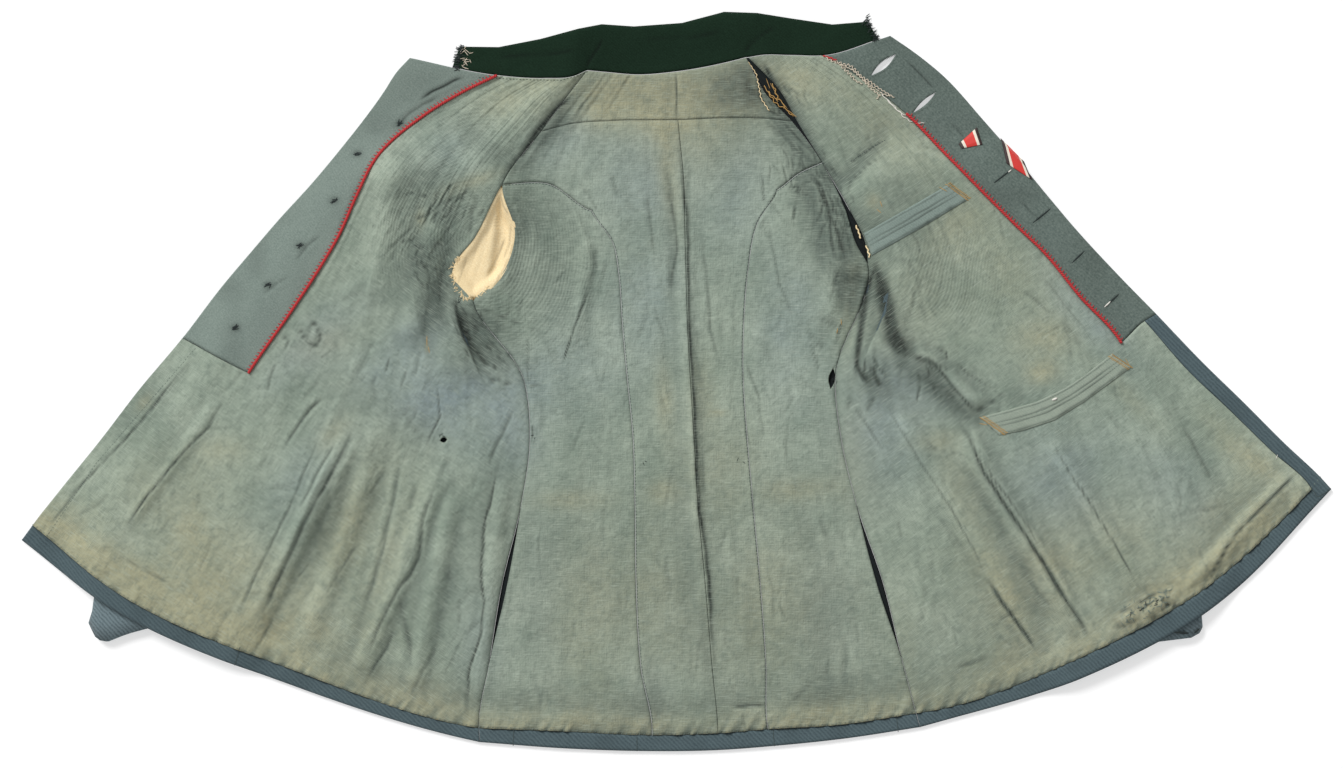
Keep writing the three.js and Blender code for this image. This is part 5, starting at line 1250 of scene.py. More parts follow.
# %% Collar
# Place along the neck edge, then the free edge's x and y, in plan units, and its height in millimetres.
COLLAR_EDGE = (
    (454, 460, 47, 3), (498, 499, 47.5, 4), (540, 541, 39.5, 7), (574, 579, 29.5, 11), (590, 602, 25, 9),
    (630, 634, 27, 6), (676, 682, 23.5, 5), (718, 724, 12.5, 7), (748, 757, 14, 12), (786, 790, 19, 8),
    (826, 832, 25, 5), (878, 868, 22, 3),
)
COLLAR = 3.2
COLLAR_SEAM = 0.6
COLLAR_SEAT = 1.2


# Collar creases: depth, half width, painted shade, then the path.
COLLAR_CREASES = (
    (1.6, 2.4, 0.7, 586, 70, 591, 60, 598, 49, 604, 38), (1.4, 2.6, 0.5, 742, 56, 752, 44, 764, 34, 778, 26),
    (0.8, 3.0, 0.4, 497, 58, 540, 55, 580, 50), (0.8, 3.0, 0.3, 640, 40, 690, 38, 726, 30),
)


def collar_strip():
    """The collar, from the neck edge of the net to its own free edge."""
    start = (COLUMN["left_edge"] + COLUMN["left_facing"]) // 2
    end = COLUMN["right_strip"]
    neck = slice(start, end + 1)
    nx, ny, nz = place_x[-1, neck], place_y[-1, neck], outer_low[-1, neck] + COLLAR_SEAT
    table = np.array(COLLAR_EDGE, float)
    free = [np.interp(plan_x[-1, neck], table[:, 0], table[:, k]) for k in (1, 2, 3)]
    fx, fy = to_mm(free[0], free[1])
    length = np.hypot(fx - nx, fy - ny)
    cells = 14
    layers = []
    for k in range(cells + 1):
        share = np.maximum(1 - k / cells, COLLAR_SEAM / length)
        rim = 0.5 * np.exp(-((np.minimum(share, 1 - share) * length / 1.4) ** 2))
        height = nz + smooth(share) * (free[2] - nz) + 0.3 * wander(nx / 16, share * 3, 61)
        x, y = nx + share * (fx - nx), ny + share * (fy - ny)
        folded, dark = crease_field(x / UNIT + MIDDLE_X, MIDDLE_Y - y / UNIT, COLLAR_CREASES)
        layers.append(np.stack([x, y, height, rim, 0.5 * folded, dark], 1))
    layers = np.array(layers)
    low, high = layers[..., :3].copy(), layers[..., :3].copy()
    high[..., 2] += COLLAR - layers[..., 3] + layers[..., 4]
    return new_mesh("cloth_collar", *closed_grid(high, low), MATERIALS["collar"],
                    {"dark": np.tile(layers[..., 5].ravel(), 2)})


collar = collar_strip()
print("collar and sleeves made")

# %% [markdown]
# ## Cords, welts and ribbon
#
# Trim lies on cloth that is already modelled, so each point of it is dropped on to what is under it with a ray.
# A cord is two strands wound round each other. A welt or a ribbon is a small sheet of its own.

# %% Find the surface under a plan point
def surface_of(objects):
    """A tree of triangles over several objects, for dropping things on to them."""
    points, faces = [], []
    for thing in objects:
        base = len(points)
        points += [vertex.co.copy() for vertex in thing.data.vertices]
        faces += [[base + k for k in polygon.vertices] for polygon in thing.data.polygons]
    return BVHTree.FromPolygons(points, faces)


def heights_on(tree, xs, ys):
    """Height in millimetres of the highest surface at each place, or 0 where there is none."""
    found = []
    for px, py in zip(np.ravel(xs), np.ravel(ys)):
        hit = tree.ray_cast(Vector((px * MM, py * MM, 1)), Vector((0, 0, -1)))[0]
        found.append(0.0 if hit is None else hit.z / MM)
    return np.array(found).reshape(np.shape(xs))


def draped(values, reach):
    """The highest value within a few neighbours, then its running mean: a smooth cover that nothing pokes through."""
    for _ in range(reach):
        for axis in range(values.ndim):
            values = np.maximum.reduce(neighbours(values, axis))
    return spread(values, reach)


def resampled(path, step):
    """Points of a path, about a step apart, from its first to its last."""
    path = np.asarray(path, float)
    run = np.concatenate([[0], np.cumsum(np.linalg.norm(np.diff(path, axis=0), axis=1))])
    at = np.linspace(0, run[-1], max(2, int(run[-1] / step) + 1))
    return np.stack([np.interp(at, run, path[:, k]) for k in range(path.shape[1])], 1)


def sides_of(path):
    """Unit directions to the side of a path and upwards from it, at each of its points."""
    lean = np.gradient(path, axis=0)
    lean /= np.linalg.norm(lean, axis=1)[:, None]
    side = np.cross(lean, (0.0, 0.0, 1.0))
    side += np.where(np.linalg.norm(side, axis=1)[:, None] < 0.05, (1.0, 0.0, 0.0), 0)  # where the path stands upright
    side /= np.linalg.norm(side, axis=1)[:, None]
    return side, np.cross(side, lean)


def plan_line(path, step):
    """Points in millimetres, a step apart, along a path in plan units."""
    return resampled(np.stack(to_mm(*np.array(path, float).T), 1), step)


def tube(path, radius, sides):
    """Points and faces of a closed tube of one radius along a path."""
    side, up = sides_of(path)
    angle = (2 * np.pi * np.arange(sides) / sides)[None, :, None]
    rings = path[:, None] + radius * (np.cos(angle) * side[:, None] + np.sin(angle) * up[:, None])
    faces = []
    for r in range(len(path) - 1):
        for k in range(sides):
            a, b = r * sides + k, r * sides + (k + 1) % sides
            faces.append([a, a + sides, b + sides, b])
    end = (len(path) - 1) * sides
    faces.append(list(range(sides)))
    faces.append([end + k for k in range(sides)][::-1])
    return rings.reshape(-1, 3), faces


def joined(parts):
    """Several sets of points and faces as one."""
    points, faces, base = [], [], 0
    for some, rings in parts:
        points.append(some)
        faces += [[base + k for k in ring] for ring in rings]
        base += len(some)
    return np.concatenate(points), faces


# %% Edging cords
CORD_HEIGHT = 7.0  # millimetres from the outer cloth's underside to the middle of the cord
CORD_PITCH = 5.0


def edging_cord(name, line, upper):
    """Two strands of red wool wound round each other along a facing's seam."""
    rows = slice(ROW["waist"], ROW[upper] + 1)
    column = COLUMN[line]
    route = np.stack([place_x[rows, column], place_y[rows, column], outer_low[rows, column] + CORD_HEIGHT], 1)
    route = spread_path(resampled(route, 0.8), 4)
    run = 0.8 * np.arange(len(route))
    side, up = sides_of(route)
    strands = []
    for start in (0, np.pi):
        turn = (2 * np.pi * run / CORD_PITCH + start)[:, None]
        strands.append(tube(route + 0.75 * (np.cos(turn) * side + np.sin(turn) * up), 0.95, 7))
    return new_mesh(name, *joined(strands), MATERIALS["red"]), route


def spread_path(path, times):
    """A path with its bends rounded and its ends kept."""
    for _ in range(times):
        path = np.concatenate([path[:1], (path[:-2] + path[1:-1] + path[2:]) / 3, path[-1:]])
    return path


cord_right, route_right = edging_cord("edging_cord_right_twisted", "left_facing", "neck")
cord_left, route_left = edging_cord("edging_cord_left_twisted", "right_facing", "shoulder")
print("edging cords %.0f and %.0f mm long" % (0.8 * len(route_right), 0.8 * len(route_left)))

# %% Welts and ribbons
ground = surface_of([thing for thing, _, _ in cloths.values()] + [collar])


def laid_sheet(name, first, last, thickness, material, cells, lift=0.3, soft=3, creases=(), on=None):
    """A sheet ruled between two edges in plan units, laid on what is under it."""
    edges = []
    for edge in (first, last):
        line = np.stack(to_mm(*np.array(edge, float).T), 1)
        run = np.concatenate([[0], np.cumsum(np.hypot(*np.diff(line, axis=0).T))])
        at = np.linspace(0, run[-1], cells[0] + 1)
        edges.append(np.stack([np.interp(at, run, line[:, k]) for k in (0, 1)], 1))
    share = np.linspace(0, 1, cells[1] + 1)[None, :, None]
    plan = edges[0][:, None] * (1 - share) + edges[1][:, None] * share
    found = heights_on(on or ground, plan[..., 0], plan[..., 1])
    steps = [np.minimum(np.arange(count + 1), count - np.arange(count + 1)) for count in cells]
    inside = smooth(np.minimum(steps[0][:, None], steps[1][None, :]) / 4)  # 0 on the rim, which lies right down
    seat = found + inside * (draped(found, soft) - found) + lift
    # Painted shade: the darkness of the creases is stored on the sheet.
    folded, dark = crease_field(plan[..., 0] / UNIT + MIDDLE_X, MIDDLE_Y - plan[..., 1] / UNIT, creases)
    rim = np.zeros(seat.shape)
    rim[[0, -1]], rim[:, [0, -1]] = 0.35 * thickness, 0.35 * thickness
    top = seat + thickness - rim
    top = np.maximum(top + 0.6 * folded, seat + 0.4 * thickness)
    points, faces = closed_grid(np.dstack([plan, top]), np.dstack([plan, seat]))
    along = np.tile((np.arange(cells[0] + 1) / cells[0])[:, None], (1, cells[1] + 1))
    stored = {"across": np.tile(along.ravel(), 2), "dark": np.tile(dark.ravel(), 2)}
    grain = np.tile(plan.reshape(-1, 2), (2, 1))
    return new_mesh(name, points, faces, material, stored, grain)


WELT = 0.9
RIBBON = 0.9
WELT_EDGES = (([(863, 234), (905, 210), (946, 186)], [(871, 256), (919, 229), (967, 200)]),
              ([(979, 417), (1009, 409), (1034, 402), (1062, 389), (1082, 376), (1110, 354)],
               [(998, 435), (1023, 430), (1053, 420), (1082, 402), (1111, 381), (1130, 367)]))
WELT_ROWS = (0.1, 0.42, 0.58, 0.92)  # share of the welt's width at which each row of stitching runs


def welt_line(edges, share):
    upper, lower = np.array(edges[0], float), np.array(edges[1], float)
    return upper * (1 - share) + lower * share


# Shallow grooves along the stitching rows, with painted shade in them.
def welt_grooves(edges):
    return [(0.5, 0.9, 0.4, *resampled(welt_line(edges, share), 12).ravel()) for share in WELT_ROWS]


trims = {
    "pocket_welt_breast": laid_sheet("cloth_pocket_welt_breast", *WELT_EDGES[0], WELT, MATERIALS["welt"], (70, 22), 0.1,
                                     creases=welt_grooves(WELT_EDGES[0])),
    "pocket_welt_waist": laid_sheet("cloth_pocket_welt_waist", *WELT_EDGES[1], WELT, MATERIALS["welt_worn"],
                                    (100, 22), 0.1,
                                    creases=welt_grooves(WELT_EDGES[1])),
    "ribbon_buttonhole_end": laid_sheet("cloth_ribbon_buttonhole_end", [(958, 144.5), (976.5, 127.5)],
                                        [(961, 149), (982, 145)],
                                        RIBBON, MATERIALS["ribbon"], (30, 16)),
    "ribbon_edge_end": laid_sheet("cloth_ribbon_edge_end", [(1000.5, 138), (1024, 161.5)], [(1006, 164), (1032, 180.5)],
                                  RIBBON, MATERIALS["ribbon"], (40, 20)),
}
print("welts and ribbons laid")

# %% [markdown]
# ## The open armhole
#
# The right sleeve's cream cotton lining shows through the gap at the armhole. It is a small creased sheet that
# lies on the outer cloth and runs a little way under the lining all round, with threads frayed over its edge.

# %% Sleeve lining in the armhole
shell_ground = surface_of([cloths[name][0] for name in SHELLS] + [sleeve_right, sleeve_left])
CREAM_CREASES = (
    (0.9, 2.0, 0.40, 485, 208, 476, 228, 464, 248, 457, 264), (0.4, 1.8, 0.05, 497, 208, 489, 234, 480, 264, 472, 290),
    (0.8, 1.4, 0.35, 506, 236, 501, 250, 493, 266, 487, 278), (0.4, 1.6, 0.12, 482, 236, 474, 258, 464, 280),
    (0.6, 1.2, 0.25, 512, 222, 510, 244, 502, 262), (0.5, 1.0, 0.35, 501, 194, 504, 206, 510, 216),
    (0.5, 1.2, 0.25, 468, 254, 464, 270, 458, 286),
)
armhole_lining = laid_sheet(
    "cloth_sleeve_lining_armhole",
    [(497, 182), (484, 206), (470, 230), (455, 252), (448, 270), (450, 288), (460, 301)],
    [(511, 182), (518, 206), (521, 233), (515, 258), (508, 272), (495, 290), (484, 302)],
    0.9, MATERIALS["cream"], (70, 40), 0.3, 4, creases=CREAM_CREASES, on=shell_ground)
print("armhole lining laid")

# %% [markdown]
# ## Sewing
#
# One stitch is modelled once: a ball drawn out to a short thread whose ends dip into the cloth. Copies of it,
# each turned and sized, make the rows of machine stitching, the red blanket stitch, the bar tacks, the
# buttonhole edges and the button threads. A few dozen faces are enough for a thing this small.

# %% One stitch
bpy.ops.object.select_all(action="DESELECT")
bpy.ops.mesh.primitive_uv_sphere_add(segments=6, ring_count=6, radius=0.5, location=(0, 0, 0))
stitch = bpy.context.active_object
stitch.name = "stitch"
bpy.ops.object.mode_set(mode="EDIT")
bpy.ops.mesh.select_all(action="SELECT")
bpy.ops.transform.rotate(value=math.pi / 2, orient_axis="Y", center_override=(0, 0, 0))
bpy.ops.mesh.normals_make_consistent(inside=False)
bpy.ops.object.mode_set(mode="OBJECT")
STITCH_POINTS = np.array([vertex.co[:] for vertex in stitch.data.vertices])
STITCH_POINTS[:, 2] -= 0.8 * STITCH_POINTS[:, 0] ** 2
STITCH_FACES = [list(polygon.vertices) for polygon in stitch.data.polygons]
bpy.data.objects.remove(stitch)
sewn_ground = surface_of([thing for thing, _, _ in cloths.values()] + list(trims.values()) + [collar, armhole_lining])
print("a stitch has %d faces" % len(STITCH_FACES))


def stitched(name, stitches, finish, lift=0.15, tree=None):
    """Copies of the stitch as one piece. Each is x, y, direction in radians, length and thickness in millimetres."""
    table = np.array(stitches, float)
    tree = tree or sewn_ground
    ends = [heights_on(tree, table[:, 0] + side * np.cos(table[:, 2]) * table[:, 3] / 2,
                       table[:, 1] + side * np.sin(table[:, 2]) * table[:, 3] / 2) for side in (-1, 0, 1)]
    middle = np.maximum(ends[1], (ends[0] + ends[2]) / 2)
    slope = np.clip((ends[2] - ends[0]) / table[:, 3], -0.8, 0.8)
    parts = []
    for (sx, sy, turn, length, thick), z, lean in zip(table, middle, slope):
        shape = STITCH_POINTS * (length, thick, thick)
        c, s = math.cos(turn), math.sin(turn)
        points = np.stack([sx + shape[:, 0] * c - shape[:, 1] * s, sy + shape[:, 0] * s + shape[:, 1] * c,
                           z + lift + shape[:, 2] + shape[:, 0] * lean], 1)
        parts.append((points, STITCH_FACES))
    piece = new_mesh(name, *joined(parts), MATERIALS[finish])
    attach(piece, "root")


def row_of(path, pitch, length, thick, turn=0.0, offset=0.0, seed=1, unit=True):
    """Stitches along a path, in plan units or in millimetres, turned from its direction by an angle in degrees."""
    points = plan_line(path, pitch) if unit else resampled(path, pitch)
    lean = np.gradient(points, axis=0)
    angle = np.arctan2(lean[:, 1], lean[:, 0])
    rng = np.random.default_rng(seed)
    jitter = rng.normal(0, 0.06, (3, len(points)))
    px = points[:, 0] - np.sin(angle) * (offset + 2 * jitter[0])
    py = points[:, 1] + np.cos(angle) * (offset + 2 * jitter[0])
    return [(a, b, t + math.radians(turn) + j, length * (1 + k), thick) for a, b, t, j, k in
            zip(px, py, angle, jitter[1], jitter[2])]


def net_path(column=None, row=None, first=None, last=None):
    """A seam line of the net in millimetres, between two sections or two other seams."""
    if column is not None:
        here = (slice(ROW[first], ROW[last] + 1), COLUMN[column])
    else:
        here = (ROW[row], slice(COLUMN[first], COLUMN[last] + 1))
    return np.stack([place_x[here], place_y[here]], 1)


# %% Machine stitching
SEAM_PITCH = 3.4
seam_rows_sewn = []
for column, side in (("left_princess", -1.0), ("right_princess", 1.0)):
    line = net_path(column, None, "hem_turning", "armhole_head")
    seam_rows_sewn += row_of(line, SEAM_PITCH, 2.2, 0.55, 0, side, 11, False)
for row, first, last in (("armhole_head", "left_back", "left_princess"),
                         ("armhole_head", "right_princess", "right_back")):
    seam_rows_sewn += row_of(net_path(None, row, first, last), SEAM_PITCH, 2.2, 0.55, 0, -1.0, 12, False)
SLIT_POCKET = [(851, 162), (867, 151), (884, 141)]
STRIP_SEAM = [(196, 349), (150, 402), (98, 462), (48, 536)]
seam_rows_sewn += row_of(SLIT_POCKET, 2.6, 2.0, 0.7, 0, 0, 13)
seam_rows_sewn += row_of(STRIP_SEAM, 3.6, 2.2, 0.45, 0, 0, 14)
# The hem band was pieced: short seams cross it, and one closes the corner.
BAND_SEAMS = ([(241, 647), (236, 664)], [(514, 730), (513, 745)], [(637, 735), (637, 750)], [(773, 729), (774, 745)],
              [(896, 716), (898, 731)], [(1311, 488), (1317, 497), (1328, 491)])
for number, seam in enumerate(BAND_SEAMS):
    seam_rows_sewn += row_of(seam, 2.0, 2.4, 0.7, 0, 0, 50 + number)
stitched("thread_seam_stitching", seam_rows_sewn, "seam")
hem_path = net_path(None, "hem_turning", "left_edge", "right_edge")
stitched("thread_hem_felling", row_of(hem_path, 4.6, 3.0, 0.6, 62, 1.2, 15, False),
         "grey_thread")
welt_rows = []
for edges in WELT_EDGES:
    for share in WELT_ROWS:
        welt_rows += row_of(welt_line(edges, share), 2.8, 2.2, 0.55, 0, 0, 16)
stitched("thread_welt_stitching", welt_rows, "grey_thread")
print("machine stitches:", len(seam_rows_sewn) + len(welt_rows))

# %% Blanket stitch, bar tacks, button threads
blanket = []
for route, side in ((route_right, 1), (route_left, -1)):
    for step in range(4, len(route) - 4, 5):
        lean = route[step + 2] - route[step - 2]
        angle = math.atan2(lean[1], lean[0])
        out = angle + side * math.pi / 2
        blanket.append((route[step, 0] + 2.7 * math.cos(out), route[step, 1] + 2.7 * math.sin(out), out + 0.35, 3.6,
                        1.0))
stitched("thread_blanket_stitch", blanket, "red", 0.35)
BAR_TACKS = ([(945.5, 185.5), (966.5, 200.5)], [(948.5, 184), (968.5, 199)], [(979.5, 417.5), (1002.5, 434)],
             [(982.5, 416.5), (1005, 432.5)], [(1110.5, 354.5), (1130.5, 367.5)], [(1107.5, 356.5), (1127, 369)])
tacks = []
for number, tack in enumerate(BAR_TACKS):
    tacks += row_of(tack, 1.8, 3.4, 0.8, 60 if number % 2 else 24, 0, 20 + number)
rng = np.random.default_rng(5)
ORANGE_ENDS = ((428, 341, 90, 11), (430, 350, 80, 7), (775, 92, 60, 22), (783, 104, 50, 16), (768, 84, 70, 12),
               (792, 114, 40, 12), (841, 322, 85, 7), (837, 331, 100, 6), (942, 190, 30, 10), (982, 424, 10, 9),
               (1126, 362, 60, 8), (880, 205, 70, 7), (878, 212, 40, 6))
for ox, oy, turn, length in ORANGE_ENDS:
    mx, my = to_mm(ox, oy)
    tacks.append((mx, my, math.radians(-turn), length, 0.7))
stitched("thread_orange_tacks", tacks, "orange")
tufts = []
for bx, by in BUTTON_PLACES:
    mx, my = to_mm(bx, by)
    for _ in range(7):
        tufts.append((mx + rng.normal(0, 1.3), my + rng.normal(0, 1.0), rng.uniform(-0.5, 1.6), rng.uniform(4, 8.5),
                      0.95))
for sx, sy, count in ((444, 440, 5), (834, 380, 6), (644, 462, 2), (738, 462, 2), (533, 433, 2), (460, 300, 5)):
    mx, my = to_mm(sx, sy)
    for _ in range(count):
        tufts.append((mx + rng.normal(0, 2.2), my + rng.normal(0, 2.2), rng.uniform(0, 3.1), rng.uniform(2.5, 5), 0.6))
stitched("thread_button_ends", tufts, "dark")
print("blanket stitches %d, tacks %d, button threads %d" % (len(blanket), len(tacks), len(tufts)))

# %% Buttonholes
HOLE_PITCH = 1.5  # millimetres between the stitches round a buttonhole
HOLE_GAP = 6.4  # width in millimetres of one that stands open
# Two plan points, then 1 where the hole stands open.
BUTTONHOLES = ((871, 75.5, 896, 55.4, 1), (913.7, 112.4, 936, 93.7, 1), (992.5, 184, 1010.7, 170, 0),
               (1031, 224, 1050.5, 208.4, 0), (1070, 264, 1084.4, 250.5, 0), (1103.5, 307.4, 1118.8, 293.6, 0))
edge_stitches, slots = [], []
for x0, y0, x1, y1, standing in BUTTONHOLES:
    (ax, bx), (ay, by) = to_mm([x0, x1], [y0, y1])
    angle = math.atan2(by - ay, bx - ax)
    length = math.hypot(bx - ax, by - ay)
    for side in (-1, 1):
        for step in range(int(length / HOLE_PITCH) + 1):
            share = step * HOLE_PITCH / length
            out = side * ((0.5 * HOLE_GAP * math.sin(math.pi * min(share, 1)) if standing else 0.5) + 1.1)
            edge_stitches.append((ax + share * (bx - ax) - out * math.sin(angle),
                                  ay + share * (by - ay) + out * math.cos(angle),
                                  angle + math.pi / 2, 2.2, 0.8))
    if not standing:
        slots.append(((ax + bx) / 2, (ay + by) / 2, angle, length, 1.5))
# Painted highlights: two glints in white thread along buttonhole ends. The other two pieces are white thread ends.
glints = [(*to_mm(1009, 171.5), math.radians(38), 5, 1.3), (*to_mm(1107, 304), math.radians(42), 11, 1.5)]
stitched("thread_buttonhole_edges", edge_stitches, "facing_left", 0.0)
# Painted shade: a dark strip lies in the slit of each closed buttonhole.
stitched("painted_shade_buttonhole_slots", slots, "dark", 0.1)
stitched("thread_ends_and_painted_glints", glints + [(*to_mm(1053, 399), 0.4, 6.5, 2.4),
                                        (*to_mm(1276, 457), 1.2, 6, 0.6)],
         "white_thread", 0.5)

# %% [markdown]
# ## Loose and frayed threads
#
# Where the edging has come off, its sewing thread still lies in a zigzag. Threads hang in the torn shoulder, at
# the armhole and at the two raw ends of the collar. Each is a thin tube that follows the cloth.

# %% Loose threads
THREAD_STEP = 0.9  # millimetres between a thread's points


def loose_thread(path, radius, wiggle, pitch, seed):
    """Points and faces of one thread along plan points, winding from side to side."""
    points = plan_line(path, THREAD_STEP)
    lean = np.gradient(points, axis=0)
    lean /= np.maximum(np.hypot(*lean.T), 1e-6)[:, None]
    run = THREAD_STEP * np.arange(len(points))
    sway = wiggle * np.sin(2 * np.pi * run / pitch + seed) * (0.7 + 0.6 * wander(run / 9, run * 0 + seed, seed))
    points = points + np.stack([-lean[:, 1], lean[:, 0]], 1) * sway[:, None]
    seat = heights_on(sewn_ground, points[:, 0], points[:, 1])
    seat = np.maximum(spread(seat, 2), seat) + radius + 0.4
    return tube(np.column_stack([points, seat]), radius, 5)


LOOSE_TAN = ([(824, 57), (843, 65), (850, 66), (861, 77), (871, 83), (879, 89), (894, 98)],
             [(826, 59), (845, 67), (853, 71), (863, 80), (872, 87), (882, 94), (890, 97)],
             [(838, 64), (849, 74), (856, 82), (862, 84)], [(862, 80), (872, 90), (880, 96), (876, 99)])
WHITE_STRAND = ([(886, 99), (897, 110), (905, 119), (912, 122), (924, 124)],
                [(880, 93), (890, 104), (898, 112), (906, 116)])
TORN_THREADS = ([(764, 86), (770, 96), (776, 104), (784, 109)],
                [(768, 92), (774, 98), (781, 101), (786, 110), (793, 117)],
                [(772, 84), (776, 93), (778, 102)])
# The cream edges of lining cotton that show at the torn shoulder and the left armhole.
EDGE_FRAY = ([(748, 62), (756, 74), (759, 88), (761, 99), (769, 111)], [(855, 226), (858, 232), (860, 239)],
             [(865, 246), (867, 250), (869, 258)])
EDGE_RADII = (0.5, 0.9, 0.8)
# Paths, radii and sway in millimetres, how far apart the bends are, finish and slot of each lot of threads.
LOOSE_THREADS = {
    "thread_loose_zigzag": (LOOSE_TAN, 0.5, 1.5, 4.2, "tan", "edging"),
    "thread_loose_white": (WHITE_STRAND, 0.45, 0.8, 9, "white_thread", "edging"),
    "thread_torn_shoulder": (TORN_THREADS, 0.5, 1.0, 7, "orange", "lining_cotton"),
    "thread_shoulder_edge": (EDGE_FRAY, EDGE_RADII, 0.6, 5, "cream", "lining_cotton"),
}
for name, (paths, radii, wiggle, pitch, finish, slot) in LOOSE_THREADS.items():
    radii = np.broadcast_to(radii, len(paths))
    strands = [loose_thread(path, radii[k], wiggle, pitch, k) for k, path in enumerate(paths)]
    piece = new_mesh(name, *joined(strands), MATERIALS[finish])
    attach(piece, "root")
red_bit = new_mesh("thread_red_end", *joined([loose_thread([(822, 56), (829, 58), (836, 61)], 0.9, 0.5, 5, 2)]),
                   MATERIALS["red"])
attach(red_bit, "root")
print("loose threads made")

# %% Frayed edges
def frayed(path, count, length, thick, seed, aside=1.2, turn=90, spread_turn=40):
    """Short threads standing out of an edge at uneven angles."""
    rng = np.random.default_rng(seed)
    points = plan_line(path, 0.5)
    lean = np.gradient(points, axis=0)
    made = []
    for index in rng.integers(0, len(points), count):
        angle = math.atan2(lean[index, 1], lean[index, 0]) + math.radians(turn + rng.normal(0, spread_turn))
        reach = length * rng.uniform(0.5, 1.3)
        made.append((points[index, 0] + aside * rng.normal(), points[index, 1] + aside * rng.normal(), angle, reach,
                     thick))
    return made


ARMHOLE_EDGE = [(461, 256), (452, 268), (455, 286), (465, 299), (480, 297), (489, 287)]
stitched("thread_armhole_fray", frayed(ARMHOLE_EDGE, 70, 4.5, 0.6, 31, 0.9), "cream", 0.3)
stitched("thread_collar_fray_light", frayed([(463, 48), (467, 68)], 16, 6, 0.7, 32, 2.6, 60, 60),
         "tan", 0.4)
dark_ends = frayed([(461, 46), (457, 58), (457, 71)], 44, 7, 0.9, 33, 1.2, 90, 30)
dark_ends += frayed([(867, 21), (872, 31), (877, 41)], 44, 7, 0.9, 34, 1.2, 90, 30)
dark_ends += frayed([(862, 24), (869, 16)], 6, 8, 0.8, 35, 0.6, 0, 14)
stitched("thread_collar_fray_dark", dark_ends, "dark", 0.4)
torn_light = frayed([(1124, 618), (1136, 608), (1150, 604), (1166, 596)], 60, 5, 0.8, 41, 5.5, 20, 50)
stitched("thread_torn_corner_light", torn_light, "grey_thread", 0.2)
torn_dark = frayed([(1128, 613), (1142, 606), (1158, 600)], 9, 5, 1.1, 42, 4.5, 30, 40)
stitched("thread_torn_corner_dark", torn_dark, "dark", -0.1)
# Painted shadow: dark strips lie in the open mouth of the left cuff.
cuff_mouth_shadows = [(*to_mm(1185, 632.5), math.radians(-4), 27, 2.6), (*to_mm(1196, 630.5), math.radians(40), 8, 2.0)]
stitched("painted_shadow_cuff_mouth", cuff_mouth_shadows, "dark", 0.1, shell_ground)
COLLAR_SEAM = [(480, 78), (520, 80), (562, 81), (576, 77), (587, 72.5)]
stitched("thread_collar_edge_stitch", row_of(COLLAR_SEAM, 3.4, 2.2, 0.6, 0, 0, 36), "dark")
print("frayed edges made")

# %% [markdown]
# ## What each piece stands for
#
# Every piece rides on the one rigid body and hides the plain solid that it stands for. Each
# cloth's size as cut is worked out from the net, because the tunic lies flat, and printed.

def flat_size(picked):
    """Width, length and area in metres of the picked cells, laid flat."""
    corners = [np.stack([place_x[a, b], place_y[a, b]], -1) for a, b in
               ((slice(None, -1), slice(None, -1)), (slice(None, -1), slice(1, None)),
                (slice(1, None), slice(1, None)), (slice(1, None), slice(None, -1)))]
    width = np.linalg.norm(corners[1] - corners[0], axis=-1) * picked
    length = np.linalg.norm(corners[3] - corners[0], axis=-1) * picked
    diagonals = corners[2] - corners[0], corners[3] - corners[1]
    area = 0.5 * np.abs(diagonals[0][..., 0] * diagonals[1][..., 1] - diagonals[0][..., 1] * diagonals[1][...,
                                                                                                          0]) * picked
    size = width.sum(1).max() * MM, length.sum(0).max() * MM
    area = area.sum() * MM * MM
    if area < 0.32 * size[0] * size[1]:
        size = area / sum(size), sum(size)  # a narrow strip that turns a corner
    return size, min(area, 0.999 * size[0] * size[1])


def declare(piece, node, flat):
    """Says what a cloth stands for and the size that it was cut to."""
    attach(piece, "root")
    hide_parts(node)
    print("%-22s cut %.0f x %.0f mm" % (node, flat[0] / MM, flat[1] / MM))


for node, (piece, picked, slot) in cloths.items():
    size, area = flat_size(picked)
    declare(piece, node, size)


def sleeve_cut(sleeve):
    """Round and length of a flattened sleeve, and its area, in metres."""
    table = np.array(sleeve, float)
    step = np.hypot(*np.diff(table[:, :2], axis=0).T) * UNIT * MM
    girth = (4 * table[:, 2] * UNIT + 1.2 * table[:, 3]) * MM
    return (girth.max(), step.sum()), (step * (girth[1:] + girth[:-1]) / 2).sum()


for piece, node, sleeve in ((sleeve_right, "sleeve_right", RIGHT_SLEEVE), (sleeve_left, "sleeve_left", LEFT_SLEEVE)):
    size, area = sleeve_cut(sleeve)
    declare(piece, node, size)
# Slot, width and length in metres, and the share of that oblong which the cloth fills, where it isn't all of it.
CUT_SIZES = {
    "collar": ("collar_wool", 0.452, 0.052, 0.86),
    "pocket_welt_breast": ("facing_wool", 0.024, 0.106, None),
    "pocket_welt_waist": ("facing_wool", 0.023, 0.156, None),
    "ribbon_buttonhole_end": ("ribbon", 0.019, 0.026, 0.6),
    "ribbon_edge_end": ("ribbon", 0.024, 0.034, 0.9),
}
for node, (slot, width, length, filled) in CUT_SIZES.items():
    piece = collar if node == "collar" else trims[node]
    declare(piece, node, (width, length))
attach(armhole_lining, "root")
for piece, node in ((cord_right, "edging_cord_right"), (cord_left, "edging_cord_left")):
    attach(piece, "root")
    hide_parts(node)

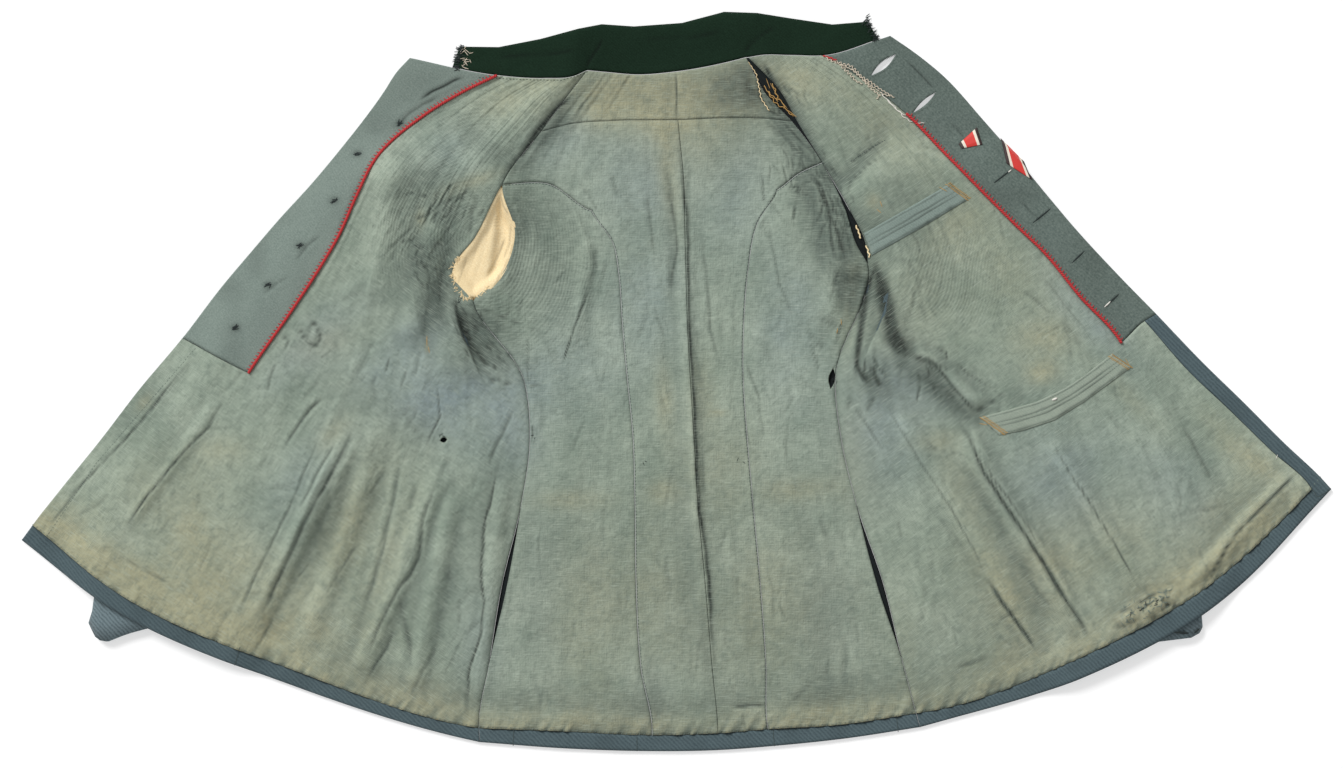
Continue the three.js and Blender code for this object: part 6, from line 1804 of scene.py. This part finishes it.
# %% [markdown]
# ## Floor, light and camera
#
# The tunic was photographed from straight above on white. A white floor, an even white sky and one large soft
# light from the upper left give faint, soft shading. The camera is far away with a long lens, so that
# nothing leans.

# %% Stage
bpy.ops.object.select_all(action="DESELECT")
bpy.ops.mesh.primitive_plane_add(size=14, location=(0, 0, 0))
floor = bpy.context.active_object
floor.name = "floor"
floor_material, floor_tree, floor_shader = new_material("painted_board_white")
grit = add_node(floor_tree, "TexNoise", {"Vector": add_node(floor_tree, "TexCoord").outputs["Object"], "Scale": 6.0})
tint = add_node(floor_tree, "Mix", {0: grit.outputs["Fac"], 6: colour("#C2C2C2"), 7: colour("#C8C8C8")},
                data_type="RGBA")
floor_tree.links.new(tint.outputs[2], floor_shader.inputs["Base Color"])
floor_shader.inputs["Roughness"].default_value = 0.9
floor_shader.inputs["Emission Color"].default_value = colour("#FFFFFF")
floor_shader.inputs["Emission Strength"].default_value = 0.5
floor.data.materials.append(floor_material)

scene = bpy.context.scene
scene.view_settings.view_transform = "Standard"
world = bpy.data.worlds.new("white_sky")
scene.world = world
world.use_nodes = True
world.node_tree.nodes["Background"].inputs["Color"].default_value = colour("#FFFFFF")
world.node_tree.nodes["Background"].inputs["Strength"].default_value = 0.5


bpy.ops.object.light_add(type="SUN", location=(-2, 2.6, 2.8))
soft_light = bpy.context.active_object
soft_light.name = "soft_light"
soft_light.data.energy = 2.7
soft_light.data.angle = math.radians(24)
soft_light.rotation_euler = (-soft_light.location).to_track_quat("-Z", "Y").to_euler()

# %% Camera
FRAME_CENTRE = (671.5, 384.0)  # plan units
CAMERA_HEIGHT = 5.0
FRAME_WIDTH = 1343 * UNIT * MM
camera = bpy.data.objects.new("camera", bpy.data.cameras.new("camera"))
bpy.context.collection.objects.link(camera)
cx, cy = to_mm(*FRAME_CENTRE)
camera.location = (cx * MM, cy * MM, CAMERA_HEIGHT)
camera.data.sensor_width = 36.0
camera.data.lens = 36.0 * CAMERA_HEIGHT / FRAME_WIDTH
scene.camera = camera
print("lens %.1f mm" % camera.data.lens)
